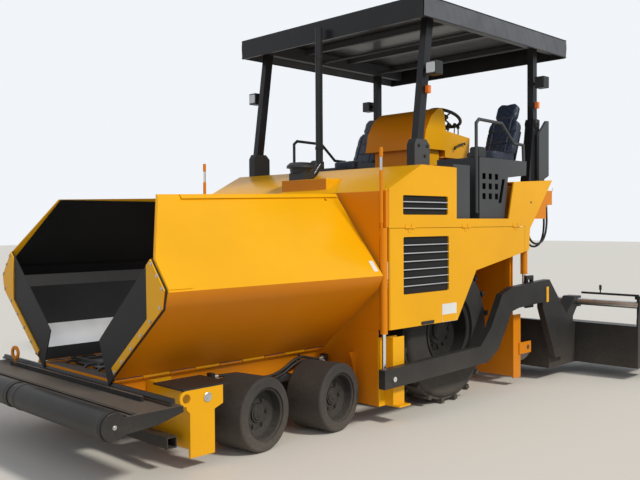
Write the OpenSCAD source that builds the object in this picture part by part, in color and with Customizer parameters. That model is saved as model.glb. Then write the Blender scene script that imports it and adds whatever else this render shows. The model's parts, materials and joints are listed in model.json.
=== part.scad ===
// Wheeled asphalt paver: material hopper in front, engine hood, open operator station
// under a flat canopy, and a floating screed towed behind on two long side arms.
// +Z is up, the machine drives towards -Y, and its left side is +X. The origin is on the
// floor, under the middle of the whole machine.

/* [Stations along the machine] */
// Reach of the push roller axis in front of the hopper's front edge
push_reach = 428; // [420:1:450]
// Length of the hopper wings
hopper_len = 2108; // [2000:2:2200]
// Gap between the hopper wings and the body's front wall
wall_gap = 32; // [28:1:40]
// Distance from the front wall back to the rear wheels' axis
rear_axle_dist = 1100; // [1080:1:1120]
// Distance from the front wall back to the screed's front face
screed_dist = 2680; // [2680:1:2760]
// Depth of the main screed, front to back
screed_depth = 590; // [560:1:640]
// Depth of a screed extension, front to back
ext_depth = 410; // [380:1:440]
// Depth of the walkway behind the screed
walk_depth = 350; // [300:1:380]

/* [Hopper] */
// Distance of a wing hinge from the centre line
hinge_x = 540; // [536:1:550]
// Height of the wing hinges
hinge_z = 590; // [588:1:600]
// Distance of the wing's fold from the centre line
fold_x = 1250; // [1230:1:1250]
// Height of the wing's fold
fold_z = 1262; // [1230:1:1280]
// Distance of the wing's top edge from the centre line
wing_top_x = 700; // [660:1:760]
// Height of the wing's top edge at the back
wing_top_z = 1960; // [1880:1:1962]
// Thickness of the wing's plate
wing_t = 14; // [8:1:16]
// Radius of the wing's hinge knuckles
knuckle_r = 16; // [14:1:18]
// Number of hinge knuckles along a wing
knuckle_count = 9; // [7:2:13]
// Thickness of the rubber flap at the wing's front
flap_t = 10; // [6:1:14]

/* [Push rollers] */
// Radius of the push rollers
roller_r = 92; // [80:1:96]
// Height of the push rollers' axis
roller_z = 480; // [470:1:490]
// Half width of the push beam inside its end plates
push_half = 1280; // [1240:1:1300]

/* [Frame and feeder] */
// Half width of the feeder tunnel
tunnel_x = 500; // [490:1:504]
// Thickness of the frame's side plates
frame_t = 20; // [14:1:20]
// Height of the feeder floor
floor_z = 600; // [590:1:604]
// Height of the tunnel's roof
roof_z = 1000; // [960:1:1000]
// Spacing of the feeder bars
bar_pitch = 300; // [260:10:360]

/* [Front wheels] */
// Radius of a front wheel
fw_r = 279.5; // [270:0.5:281]
// Width of a front wheel
fw_w = 356; // [320:1:360]
// Distance of the front wheels' middle from the centre line
fw_x = 912; // [905:1:925]
// Distance between the two front wheels of one side
fw_base = 800; // [780:1:820]
// Distance from the hopper's front edge back to the middle of the bogie
bogie_dist = 1290; // [1280:1:1300]
// Angle at which the front wheels stand, towards the machine's left
steer_rest = 9; // [-10:1:10]
// Distance of the kingpins from the centre line
king_x = 640; // [636:1:646]

/* [Rear wheels] */
// Radius of a rear wheel at its lugs' tips
rw_r = 680; // [660:1:684]
// Width of a rear tyre
rw_w = 370; // [350:1:376]
// Distance of the rear wheels' middle from the centre line
rw_x = 920; // [916:1:924]
// Radius of the rear rim's bead seat
rim_r = 305; // [290:1:310]
// Height of the lugs on a rear tyre
lug_h = 28; // [20:1:32]
// Number of lugs on each shoulder of a rear tyre
lug_count = 20; // [16:1:24]

/* [Body] */
// Width over the side panels
body_w = 2500; // [2490:1:2510]
// Thickness of the side panels and doors
panel_t = 15; // [10:1:18]
// Thickness of the hood's and the rear body's sheet
sheet_t = 12; // [8:1:14]
// Height of the seam above the side doors
seam_z = 1657; // [1640:1:1670]
// Gap around a side door
door_gap = 4; // [3:0.5:6]
// Height of the operator's deck
deck_z = 1736; // [1730:1:1740]
// Height of the hood's top
hood_z = 2209; // [2190:1:2220]

/* [Operator station] */
// Distance of the seats' middle from the centre line
seat_x = 910; // [900:1:940]
// Height of the seat boxes
seat_box_z = 2330; // [2300:1:2360]
// Radius of the steering wheel
steer_r = 190; // [170:1:210]

/* [Canopy] */
// Height of the canopy's lower edge
canopy_z = 3500; // [3450:1:3560]
// Height of the canopy's edge valance
valance_h = 200; // [170:1:220]
// Half width of the canopy
canopy_half = 1240; // [1200:1:1250]
// Length of the canopy
canopy_len = 2550; // [2450:1:2600]

/* [Tow arms and screed] */
// Height of the tow pins
tow_z = 405; // [400:1:420]
// Thickness of a tow arm
arm_t = 68; // [50:1:72]
// Height of the raised screed's underside above the floor
screed_z = 130; // [125:1:160]
// Height of the screed's box
screed_h = 510; // [480:1:540]
// How far each screed extension is run out
ext_out = 650; // [640:1:680]
// Radius of the augers
auger_r = 160; // [140:1:165]
// Pitch of the augers' flights
auger_pitch = 320; // [280:10:360]

/* [Hidden] */
$fn = 48;
small = 0.01;

// Places along the machine, from the front rollers back to the walkway
ext_gap = 10;
total_len = roller_r + push_reach + hopper_len + wall_gap + screed_dist + screed_depth
          + ext_gap + ext_depth + walk_depth;
roller_y = roller_r - total_len / 2;
hop_y = roller_y + push_reach;
wing_end_y = hop_y + hopper_len;
wall_y = wing_end_y + wall_gap;
axle_y = wall_y + rear_axle_dist;
screed_y = wall_y + screed_dist;
bogie_y = hop_y + bogie_dist;
half_w = body_w / 2;
inner_w = half_w - panel_t;
frame_out = tunnel_x + frame_t;
frame_end_y = wall_y + 2130;
run_fit = 0.3;
move_gap = 6;
front_cut = hop_y + move_gap;

// Profiles of the body's side, as [distance behind the front wall, height]
arch_low = [1018, 800];
arch_top = [1326, 1245];
tail_low = [2289, 1410];
tail_mid = [2311, 1632];
tail_top = [2770, 2148];
hood_front = [487, hood_z];
hood_back = 1010;
brow_z = 1966;

module both() {
  children();
  mirror([1, 0, 0]) children();
}

// Extrudes a [y, z] outline along X, from x0 to x1
module slab(x0, x1, outline) {
  translate([x0, 0, 0]) rotate([90, 0, 90]) linear_extrude(x1 - x0) polygon(outline);
}

// Box between two corners
module block(a, b) {
  translate(a) cube(b - a);
}

// Cylinder along X
module rod_x(x0, x1, y, z, r) {
  translate([x0, y, z]) rotate([0, 90, 0]) cylinder(h = x1 - x0, r = r);
}

// Outline given behind the front wall, moved to its place
function behind_wall(pts) = [for (p = pts) [wall_y + p[0], p[1]]];

// Height of the rear body's underside at a distance behind the front wall
function belly_z(d) = arch_top[1] + (d - arch_top[0])
                    * (tail_low[1] - arch_top[1]) / (tail_low[0] - arch_top[0]);

// Frame: side plates with the tunnel's roof, cross beams and the wing hinges' fixed knuckles
frame_low_z = 440;
cross_z = [350, 452];
knuckle_len = (hopper_len - 12) / knuckle_count;

wing_pin_r = 7;
module wing_pin(r) {
  translate([hinge_x, front_cut + 3, hinge_z]) rotate([-90, 0, 0]) cylinder(h = hopper_len - 18, r = r);
}

module frame_side() {
  slab(tunnel_x, frame_out, [
    [front_cut, frame_low_z], [bogie_y - 300, frame_low_z], [bogie_y - 140, 230],
    [bogie_y + 140, 230], [bogie_y + 300, frame_low_z], [wall_y - 60, 330],
    [frame_end_y, 330], [frame_end_y, roof_z], [wall_y, roof_z], [wall_y, hinge_z - knuckle_r - 2],
    [front_cut, hinge_z - knuckle_r - 2]
  ]);
  for (i = [0 : 2 : knuckle_count - 1])
    translate([0, front_cut + i * knuckle_len + 3, 0]) {
      translate([hinge_x, 0, hinge_z]) rotate([-90, 0, 0]) cylinder(h = knuckle_len - 6, r = knuckle_r);
      block([tunnel_x, 0, hinge_z - knuckle_r - 2], [hinge_x, knuckle_len - 6, hinge_z]);
    }
}

module main_frame() {
  color("chocolate") {
    both() frame_side();
    block([-tunnel_x, wall_y, roof_z - frame_t], [tunnel_x, frame_end_y, roof_z]);
    feeder_shafts();
    block([-tunnel_x - small, front_cut, frame_low_z], [tunnel_x + small, front_cut + 12, floor_z]);
    block([-tunnel_x - small, front_cut, floor_z - 12], [tunnel_x + small, loop_y[0] - loop_r - move_gap, floor_z]);
    both() wing_pin(wing_pin_r);
    for (y = [hop_y + 300, bogie_y, wall_y, axle_y, frame_end_y - 230])
      block([-frame_out + small, y - 60, cross_z[0]], [frame_out - small, y + 60, cross_z[1]]);
  }
}

module feeder_floor() {
  color("silver")
    block([-tunnel_x, loop_y[0] + 34, floor_z - 10], [tunnel_x, loop_y[1] - 34, floor_z]);
}

// Two bar feeders side by side: bars joined by chain strips that run round two shafts
bar_w = 410;
bar_x = 40;
bar_h = 22;
chain_in = 50;
chain_w = 24;
chain_t = 16;
return_z = 500;
loop_r = (floor_z + chain_t - return_z) / 2;
loop_y = [hop_y + 170, frame_end_y - 140];
shaft_z = return_z + loop_r;
feed_shaft_r = 28;
function chain_xs() = [bar_x + chain_in, bar_x + bar_w - chain_in - chain_w];
module feeder_shafts() {
  for (y = loop_y) {
    rod_x(-tunnel_x - small, tunnel_x + small, y, shaft_z, feed_shaft_r);
    both() for (x = chain_xs()) rod_x(x + 2, x + chain_w - 2, y, shaft_z, loop_r - chain_t - run_fit);
  }
}

module stadium(r) {
  translate([loop_y[0], shaft_z - r]) square([loop_y[1] - loop_y[0], 2 * r]);
  for (y = loop_y) translate([y, shaft_z]) circle(r = r);
}

module feeder_chains() {
  color("dimgray")
    both() {
      for (z = [floor_z + small, return_z - (bar_h - chain_t)], y = [loop_y[0] + 60 : bar_pitch : loop_y[1] - 60])
        block([bar_x, y, z], [bar_x + bar_w, y + 40, z + bar_h]);
      for (x = chain_xs())
        translate([x, 0, 0]) rotate([90, 0, 90]) linear_extrude(chain_w) difference() {
          stadium(loop_r);
          stadium(loop_r - chain_t);
        }
    }
}

// Bogies, hub motors, cross tube and step plates
lug_z = 60;
lug_t = 18;
pin_r = 16;
beam_x = [535, 588];
module bogie() {
  rod_x(frame_out, beam_x[0], bogie_y, fw_r, 62);
  slab(beam_x[0], beam_x[1], [
    [bogie_y - fw_base / 2 - 50, fw_r - 78], [bogie_y + fw_base / 2 + 50, fw_r - 78],
    [bogie_y + fw_base / 2 + 50, fw_r + 78], [bogie_y + fw_base / 2 - 90, fw_r + 78],
    [bogie_y + 90, fw_r + 50], [bogie_y - 90, fw_r + 50],
    [bogie_y - fw_base / 2 + 90, fw_r + 78], [bogie_y - fw_base / 2 - 50, fw_r + 78]
  ]);
  for (y = [bogie_y - fw_base / 2, bogie_y + fw_base / 2], z = [fw_r - lug_z - lug_t, fw_r + lug_z])
    difference() {
      union() {
        block([beam_x[1] - small, y - 35, z], [king_x, y + 35, z + lug_t]);
        translate([king_x, y, z]) cylinder(h = lug_t, r = 35);
      }
      translate([king_x, y, z - 1]) cylinder(h = lug_t + 2, r = pin_r + run_fit);
    }
}

hub_in = 545;
motor_r = 190;
spindle_r = 90;
module hub_motor() {
  rod_x(frame_out, rw_x - rw_w / 2 - 20, axle_y, rw_r, motor_r);
  rod_x(frame_out, rw_x + 60, axle_y, rw_r, spindle_r);
}

tube_w = 80;
tube_z = 210;
tube_y = hop_y + 180;
module cross_tube() {
  difference() {
    block([-1000, tube_y - tube_w / 2, tube_z - tube_w / 2],
          [1000, tube_y + tube_w / 2, tube_z + tube_w / 2]);
    block([-1001, tube_y - tube_w / 2 + 8, tube_z - tube_w / 2 + 8],
          [1001, tube_y + tube_w / 2 - 8, tube_z + tube_w / 2 - 8]);
  }
  both() block([tunnel_x, tube_y - 30, tube_z + tube_w / 2 - small],
               [frame_out, tube_y + 30, frame_low_z]);
}

bracket_top = 560;
module running_gear() {
  color("dimgray") {
    both() bogie();
    both() hub_motor();
    cross_tube();
    both() block([700, hop_y + 230, bracket_top], [1060, hop_y + 640, bracket_top + 12]);
  }
}

// Corner brackets before the front wheels, each with a tow eye and a leg
eye_r = 32;
eye_z = 510;
eye_y = hop_y + 262;
bracket_x = [1040, 1060];
module front_bracket() {
  difference() {
    union() {
      slab(bracket_x[0], bracket_x[1], [
        [eye_y, 430], [hop_y + 290, 400], [hop_y + 290, 90], [hop_y + 500, 90],
        [hop_y + 500, 400], [hop_y + 575, 430], [hop_y + 575, bracket_top], [eye_y, bracket_top]
      ]);
      rod_x(bracket_x[0], bracket_x[1], eye_y, eye_z - 5, 55);
    }
    rod_x(bracket_x[0] - 1, bracket_x[1] + 1, eye_y, eye_z - 5, eye_r);
  }
  block([frame_out, hop_y + 290, 150], [bracket_x[0] + small, hop_y + 305, bracket_top]);
  block([frame_out, hop_y + 305 - small, 470], [frame_out + 12, hop_y + 500, bracket_top]);
}

module front_brackets() {
  color("goldenrod") both() front_bracket();
}

// Front wall of the body, open at the feeder tunnel, with plates down beside the frame
wall_t = 30;
wall_half = 1180;
apron_z = 800;
module front_wall() {
  color("darkorange") {
    difference() {
      block([-wall_half, wall_y, apron_z], [wall_half, wall_y + wall_t, brow_z]);
      block([-frame_out, wall_y - 1, apron_z - 1], [frame_out, wall_y + wall_t + 1, roof_z]);
    }
    both() {
      block([frame_out, wall_y + 4, 150], [1150, wall_y + 24, apron_z + small]);
      slab(880, 896, [[wall_y + 4 + small, 590], [wall_y - 60, 590], [wall_y + 4 + small, 380]]);
    }
  }
}

// Hood: slope behind the front wall, flat top and back wall down to the deck
hood_box = [-120, 480];
hood_box_h = 102;
hood_box_front = 80;
function slope_z(d) = brow_z + d * (hood_z - brow_z) / hood_front[0];
hood_box_z = slope_z(hood_box_front) + hood_box_h;
module hood_box_body() {
  back = hood_box_front + hood_box_h * hood_front[0] / (hood_z - brow_z) + 14;
  slab(hood_box[0], hood_box[1], behind_wall([
    [hood_box_front, slope_z(hood_box_front) - 7], [hood_box_front, hood_box_z], [back, hood_box_z]
  ]));
}

module hood() {
  color("gold") {
    hood_box_body();
    slab(-inner_w, inner_w, behind_wall([
      [0, brow_z], hood_front, [hood_back, hood_z], [hood_back, deck_z],
      [hood_back - sheet_t, deck_z], [hood_back - sheet_t, hood_z - sheet_t],
      [hood_front[0] + 3, hood_z - sheet_t], [30, brow_z]
    ]));
  }
}

// What lies under the hood's outer surface, used to trim what stands on it
module under_hood() {
  slab(-inner_w, inner_w, behind_wall([
    [-200, 1000], [-200, brow_z - 100], [0, brow_z], hood_front, [hood_back, hood_z], [hood_back, 1000]
  ]));
}

// Side panels: the fixed panel above the seam, with its recess, and the hinged door below
panel_front = 45;
door_back = 2204;
hinge_stations = [316, 1154, 2036];
function side_outline() = behind_wall([
  [panel_front, apron_z], arch_low, arch_top, tail_low, tail_mid, tail_top, [1998, 2107],
  [1902, deck_z], [1009, deck_z], [1010, 2204], hood_front, [panel_front, 1986]
]);

module door_area(gap) {
  translate([wall_y + panel_front + 10 - gap, 0])
    square([door_back - panel_front - 10 + 2 * gap, seam_z - door_gap + gap]);
}

// Louvre: opening and its tilted blades, given by its corner, size and slot count
module louver_cut(y0, z0, len, high) {
  translate([y0, z0]) offset(r = 12) offset(delta = -12) square([len, high]);
}

module louver_blades(x0, x1, y0, z0, len, high, slots) {
  for (i = [1 : slots - 1])
    translate([x0, 0, z0 + i * high / slots])
      slab(0, x1 - x0, [[y0 - small, -3], [y0 + len + small, -3], [y0 + len + small, 3], [y0 - small, 3]]);
}

hinge_out = 7;
hinge_r = 6;
hinge_leaf = 34;
door_hinge_z = seam_z - door_gap / 2;
door_pin_r = 3;
module door_pin(y, r) {
  translate([half_w + hinge_out, y - 50, door_hinge_z]) rotate([-90, 0, 0]) cylinder(h = 100, r = r);
}

// Hinge barrel pieces on one side of the seam, with their leaf: up is 1 on the panel, -1 on the door
module hinge_piece(y0, len, up) {
  edge = up > 0 ? seam_z : seam_z - door_gap;
  translate([half_w + hinge_out, y0, door_hinge_z]) rotate([-90, 0, 0]) cylinder(h = len, r = hinge_r);
  block([half_w - small, y0, min(edge, edge + up * hinge_leaf)],
        [half_w + 4, y0 + len, max(edge, edge + up * hinge_leaf)]);
  block([half_w - small, y0, min(edge, edge + up * 5)], [half_w + hinge_out, y0 + len, max(edge, edge + up * 5)]);
}

upper_louver = [229, 1769, 645, 168, 3];
lower_louver = [233, 1085, 654, 494, 7];
module side_panel() {
  difference() {
    slab(inner_w, half_w, side_outline());
    translate([inner_w - 1, 0, 0]) rotate([90, 0, 90]) linear_extrude(panel_t + 2) door_area(door_gap);
    block([inner_w - 1, wall_y + upper_louver[0], upper_louver[1]],
          [half_w + 1, wall_y + upper_louver[0] + upper_louver[2], upper_louver[1] + upper_louver[3]]);
  }
  louver_blades(inner_w, half_w, wall_y + upper_louver[0], upper_louver[1], upper_louver[2],
                upper_louver[3], upper_louver[4]);
  rod_x(lift_x - 35, inner_w + small, lift_y, lift_top_z, lift_pin_r);
  for (d = hinge_stations) {
    for (e = [0, 1]) hinge_piece(wall_y + d - 62 + e * 88, 36, 1);
    door_pin(wall_y + d, door_pin_r);
  }
}

module side_door() {
  difference() {
    translate([inner_w, 0, 0]) rotate([90, 0, 90]) linear_extrude(panel_t) intersection() {
      polygon(side_outline());
      door_area(0);
    }
    block([inner_w - 1, wall_y + lower_louver[0], lower_louver[1]],
          [half_w + 1, wall_y + lower_louver[0] + lower_louver[2], lower_louver[1] + lower_louver[3]]);
  }
  louver_blades(inner_w, half_w, wall_y + lower_louver[0], lower_louver[1], lower_louver[2],
                lower_louver[3], lower_louver[4]);
  difference() {
    for (d = hinge_stations) hinge_piece(wall_y + d - 20, 40, -1);
    for (d = hinge_stations) door_pin(wall_y + d, door_pin_r + run_fit);
  }
}

module side_panel_left() { color("orange") side_panel(); }
module side_panel_right() { color("orange") mirror([1, 0, 0]) side_panel(); }
module side_door_left() { color("gold") side_door(); }
module side_door_right() { color("gold") mirror([1, 0, 0]) side_door(); }

module engine() {
  color("gray") block([-450, wall_y + 120, roof_z], [450, wall_y + 900, 1900]);
}

deck_t = 20;
module deck() {
  color("dimgray") {
    block([-inner_w, wall_y + hood_back - sheet_t, deck_z - deck_t], [inner_w, wall_y + 1902, deck_z]);
    block([-shell_half, wall_y + 1900, deck_z - deck_t], [shell_half, wall_y + 2367, deck_z]);
  }
}

// Rear body: belly, tail wall and side shelves in sheet, columns, auger plate and its flanges
shell_gap = 115;
shell_half = inner_w - shell_gap;
shelf_z = 2107;
belly_start = 1530;
step_z = 1670;
column_x = [1060, 1120];
plate_y = wall_y + 2150;
function tail_y(z) = wall_y + tail_mid[0] + (z - tail_mid[1])
                   * (tail_top[0] - tail_mid[0]) / (tail_top[1] - tail_mid[1]);
// Boxes on the tail: [lower height, upper height, distance of the rear face behind the front wall]
tail_boxes = [[1736, 1886, 2745], [1886, 2040, 2875]];
module rear_body() {
  color("darkorange") {
    slab(-shell_half, shell_half, behind_wall([
      [belly_start, belly_z(belly_start)], tail_low, tail_mid, [tail_y(step_z) - wall_y, step_z],
      [tail_y(step_z) - wall_y - 18, step_z], [tail_mid[0] - 14, tail_mid[1] + 4],
      [tail_low[0] - 14, tail_low[1] + 10], [belly_start, belly_z(belly_start) + sheet_t]
    ]));
    slab(-inner_w, inner_w, behind_wall([
      [tail_y(step_z) - wall_y, step_z], tail_top, [tail_top[0] - 18, tail_top[1]],
      [tail_y(step_z) - wall_y - 18, step_z]
    ]));
    both() {
      block([880, wall_y + 2000, shelf_z - sheet_t], [inner_w, tail_y(shelf_z - sheet_t) - 8, shelf_z]);
      for (b = tail_boxes)
        slab(1020, 1190, [
          [tail_y(b[0]) - 9, b[0]], [wall_y + b[2], b[0]], [wall_y + b[2], b[1]], [tail_y(b[1]) - 9, b[1]]
        ]);
      slab(column_x[0], column_x[1], behind_wall([
        [2130, 720], [2190, 720], [2190, belly_z(2190)], [2130, belly_z(2130)]
      ]));
      block([tunnel_x, plate_y, 100], [1138, plate_y + 15, 720]);
      block([1138 - small, plate_y, 80], [1150, plate_y + 140, 740]);
      difference() {
        block([1150 - small, plate_y + 100, auger_z - 60], [1162, auger_y + 60, auger_z + 60]);
        rod_x(1140, 1170, auger_y, auger_z, 25 + run_fit);
      }
    }
    block([-tunnel_x - small, plate_y, 100], [tunnel_x + small, plate_y + 15, 430]);
    difference() {
      block([-50, plate_y + 15 - small, auger_z - 50], [50, auger_y + 60, auger_z + 50]);
      rod_x(-51, 51, auger_y, auger_z, 30 + run_fit);
    }
  }
}

// Seat boxes with slotted sides, foot boxes before them and tube guards beside the seats
box_x = [700, 1205];
box_t = 8;
guard_x = 1180;
guard_r = 16;
guard_path = [
  [1432, 2320], [1432, 2660], [1480, 2698], [1880, 2690], [2110, 2505], [2290, 2500], [2300, 2320]
];
guard_shift = [-190, -45];
slot_size = [58, 58];
module tube_path(x, pts, r) {
  for (i = [0 : len(pts) - 2]) {
    a = [x, wall_y + pts[i][0], pts[i][1]];
    d = [0, pts[i + 1][0] - pts[i][0], pts[i + 1][1] - pts[i][1]];
    translate(a) rotate([atan2(d[2], d[1]) - 90, 0, 0]) cylinder(h = norm(d), r = r);
    if (i < len(pts) - 2) translate(a + d) sphere(r = r + 0.8);
  }
}

box_y = [1450, 2320];
foot_end = 1275;
module seat_console() {
  difference() {
    slab(box_x[0], box_x[1], behind_wall([
      [box_y[0], deck_z], [1890, deck_z], [1960, 2150], [box_y[1] - 10, 2185], [box_y[1], seat_box_z],
      [box_y[0], seat_box_z]
    ]));
    slab(box_x[0] + box_t, box_x[1] - box_t, behind_wall([
      [box_y[0] + box_t, deck_z - 1], [1890 - box_t, deck_z - 1], [1960 - box_t, 2150 + box_t],
      [box_y[1] - 10 - box_t, 2185 + box_t], [box_y[1] - box_t, seat_box_z - box_t],
      [box_y[0] + box_t, seat_box_z - box_t]
    ]));
    for (row = [0 : 2], col = [0 : 2])
      block([box_x[1] - 30, wall_y + 1500 + col * 110, 1926 + row * 97],
            [box_x[1] + 1, wall_y + 1500 + col * 110 + slot_size[0], 1926 + row * 97 + slot_size[1]]);
    slab(box_x[1] - 30, box_x[1] + 1, behind_wall([[1784, 1892], [1838, 1892], [1905, 2130], [1851, 2130]]));
  }
  difference() {
    block([box_x[0], wall_y + hood_back + small, deck_z], [box_x[1] + 8, wall_y + foot_end, 2240]);
    block([box_x[0] + box_t, wall_y + hood_back + box_t, deck_z - 1],
          [box_x[1] + 8 - box_t, wall_y + foot_end - box_t, 2240 - box_t]);
  }
  slab(1168, 1196, behind_wall([
    [2590, shelf_z], [2700, shelf_z], [2700, 2160], [2795, 2200], [2795, 2790], [2745, 2790], [2590, 2640]
  ]));
}

module seat_consoles() {
  color("gray") {
    both() seat_console();
    tube_path(guard_x, concat([[box_y[0] + 4, 1800], [1432, 1800]], guard_path), guard_r);
    tube_path(-guard_x, concat([[1242, 2232]], [for (i = [1 : 5]) guard_path[i] + guard_shift],
                               [[2110, 2320]]), guard_r);
  }
}

// Seat: cushion, back and head part in one outline
seat_w = 390;
head_w = 280;
seat_shift = 100;
seat_z = seat_box_z + run_fit;
module seat() {
  slab(seat_x - seat_w / 2, seat_x + seat_w / 2, behind_wall([
    [1880, seat_z], [2290, seat_z], [2325, 2520], [2425, 2780], [2395, 2800], [2340, 2790],
    [2290, 2720], [2205, 2480], [2180, 2435], [1890, 2435], [1870, 2400]
  ]));
  slab(seat_x - head_w / 2, seat_x + head_w / 2, behind_wall([
    [2360, 2780], [2400, 2900], [2430, 2962], [2470, 2972], [2500, 2940], [2490, 2860], [2440, 2740], [2400, 2740]
  ]));
}

module seat_left() { color("midnightblue") seat(); }
module seat_right() { color("midnightblue") mirror([1, 0, 0]) translate([0, -seat_shift, 0]) seat(); }

// Console: curved housing across the deck on a pedestal, with a side pod
console_x = [-360, 450];
console_t = 8;
module console() {
  color("orange") {
    difference() {
      slab(console_x[0], console_x[1], behind_wall([
        [1560, 2475], [1945, 2475], [1950, 2650], [1920, 2880], [1870, 2925], [1800, 2905],
        [1690, 2820], [1600, 2670]
      ]));
      slab(console_x[0] + console_t, console_x[1] - console_t, behind_wall([
        [1569, 2474], [1945 - console_t, 2474], [1950 - console_t, 2650], [1912, 2876], [1868, 2916],
        [1804, 2897], [1697, 2815], [1608, 2666]
      ]));
    }
    difference() {
      block([-290, wall_y + 1640, deck_z], [400, wall_y + 1890, 2483]);
      block([-290 + console_t, wall_y + 1640 + console_t, deck_z - 1],
            [400 - console_t, wall_y + 1890 - console_t, 2490]);
    }
    difference() {
      slab(120, 440, behind_wall([[1945 - small, 2400], [2390, 2400], [2410, 2640], [1945 - small, 2690]]));
      slab(128, 432, behind_wall([[1953, 2399], [2382, 2399], [2401, 2633], [1953, 2681]]));
    }
    block([130, wall_y + 1890 - small, 2400], [430, wall_y + 1946, 2408]);
  }
}

wheel_c = [250, wall_y + 2180, 2860];
module controls() {
  color("black") {
    translate(wheel_c) rotate([-25, 0, 0]) {
      rotate_extrude() translate([steer_r, 0]) circle(r = 15);
      for (a = [90, 210, 330]) rotate([0, 90, a]) cylinder(h = steer_r, r = 9);
      cylinder(h = 40, r = 40, center = true);
    }
    intersection() {
      translate(wheel_c) rotate([-25, 0, 0]) translate([0, 0, -260]) cylinder(h = 260, r = 26);
      slab(0, 500, behind_wall([
        [1945, 2690.01], [2410, 2640.01], [2500, 2640.01], [2500, 3000], [1960, 3000], [1960, 2700]
      ]));
    }
    for (x = [160, 200, 340])
      translate([x, wall_y + 2330, 2649.6]) {
        cylinder(h = 110, r = 7);
        translate([0, 0, 110]) sphere(r = 18);
      }
  }
}

// Canopy posts: raked front posts on box feet, upright rear posts on leaning feet
canopy_y = wall_y + 530;
post_x = [1060, 1130];
module front_post() {
  difference() {
    union() {
      slab(post_x[0] - 10, post_x[1] + 10, behind_wall([
        [530, 2150], [750, 2150], [750, 2400], [700, 2450], [560, 2450], [530, 2400]
      ]));
      slab(post_x[0], post_x[1], behind_wall([
        [575, 2400], [665, 2400], [825, canopy_z + 60], [735, canopy_z + 60]
      ]));
    }
    under_hood();
  }
}

module rear_post() {
  slab(post_x[0], post_x[1], behind_wall([
    [2580, 2700], [2660, 2700], [2660, canopy_z + 60], [2580, canopy_z + 60]
  ]));
  slab(post_x[0] - 16, post_x[1] + 16, behind_wall([
    [2460, shelf_z], [2640, shelf_z], [2690, 2800], [2570, 2800]
  ]));
  rod_x(post_x[0] - 26, post_x[1] + 26, wall_y + 2620, 2750, 52);
}

module canopy_posts() {
  color("dimgray") both() {
    front_post();
    rear_post();
  }
}

// Canopy roof with its end valances and ribs below
roof_t = 8;
rib_h = 60;
canopy_rods = [1630, 2620];
module canopy_roof() {
  top = canopy_z + valance_h;
  color("black") {
    block([-canopy_half, canopy_y, top - roof_t], [canopy_half, canopy_y + canopy_len, top]);
    for (y = [canopy_y, canopy_y + canopy_len - 16])
      block([-canopy_half, y, canopy_z], [canopy_half, y + 16, top - roof_t + small]);
    for (y = [0.06, 0.31, 0.59, 0.90] * canopy_len + [for (i = [0 : 3]) canopy_y])
      block([-canopy_half + 60, y, top - roof_t - rib_h], [canopy_half - 60, y + 50, top - roof_t + small]);
    for (y = canopy_rods)
      rod_x(-post_x[0] - 30, post_x[0] + 30, wall_y + y, canopy_z + 92, 14);
    both()
      block([post_x[0], canopy_y + 16 - small, canopy_z + 60],
            [post_x[1], canopy_y + canopy_len - 16 + small, top - roof_t + small]);
  }
}

module canopy_curtains() {
  color("gray") both()
    block([canopy_half + run_fit, canopy_y, canopy_z + 5],
          [canopy_half + 12, canopy_y + canopy_len, canopy_z + valance_h - 4]);
}

// Exhaust pipe before the canopy and the air precleaner on its box, both on the hood
stack_x = 20;
stack_y = wall_y + 455;
stack_r = 36;
elbow_z = 2270;
elbow_turn = 138;
module exhaust_stack() {
  color("black") difference() {
    union() {
      translate([stack_x, stack_y, elbow_z]) cylinder(h = 3610 - elbow_z, r = stack_r);
      translate([stack_x, stack_y, elbow_z]) sphere(r = stack_r + 0.8);
      translate([stack_x, stack_y, elbow_z]) rotate([elbow_turn, 0, 0]) cylinder(h = 260, r = stack_r);
    }
    under_hood();
    hood_box_body();
    translate([stack_x, stack_y, 2500]) cylinder(h = 1200, r = stack_r - 4);
  }
}

cleaner = [60, wall_y + 165];
module air_precleaner() {
  z = hood_box_z + 68;
  color("black") {
    block([cleaner[0] - 90, cleaner[1] - 70, hood_box_z], [cleaner[0] + 110, cleaner[1] + 70, z]);
    translate([cleaner[0], cleaner[1], z]) rotate_extrude() polygon([
      [0, -small], [100, -small], [106, 44], [137, 48], [134, 72], [104, 98], [0, 108]
    ]);
  }
}

// Work lamps on the posts and markers below them
// [distance behind the front wall, height of the lamp, height of the marker, side facing]
lamp_rows = [[640, 3080, 2900, -1], [2620, 3180, 2950, 1]];
module lamp(row) {
  front = row[3] < 0;
  x = post_x[1];
  shift = front ? (row[1] - 2400) * 160 / 1160 : 0;
  mshift = front ? (row[2] - 2400) * 160 / 1160 : 0;
  translate([0, wall_y + row[0] + shift - 20, row[1]]) {
    block([x, 0, -15], [x + 40, 30, 15]);
    block([x + 40 - small, -60, -60], [x + 150, 50, 60]);
  }
  translate([0, wall_y + row[0] + mshift - 20, row[2]])
    block([x, 0, -35], [x + 45, 40, 35]);
}

module lamps() {
  color("black") both() for (row = lamp_rows) lamp(row);
}

// Upright guides that the tow arms slide along, with foot plates
guide_y = [wall_y + 90, wall_y + 240];
guide_x = [1168, half_w];
module tow_guide() {
  difference() {
    block([guide_x[0], guide_y[0], 165], [guide_x[1], guide_y[1], 735]);
    block([guide_x[0] - 1, guide_y[0] + 12, 150], [guide_x[1] - 12, guide_y[1] + 1, 740]);
  }
  block([guide_x[0], guide_y[0], 150], [guide_x[1] + 70, guide_y[1], 165 + small]);
  block([1150, wall_y + 4, 150], [guide_x[0] + small, guide_y[1], 735]);
}

module tow_guides() {
  color("gold") both() tow_guide();
}

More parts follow.
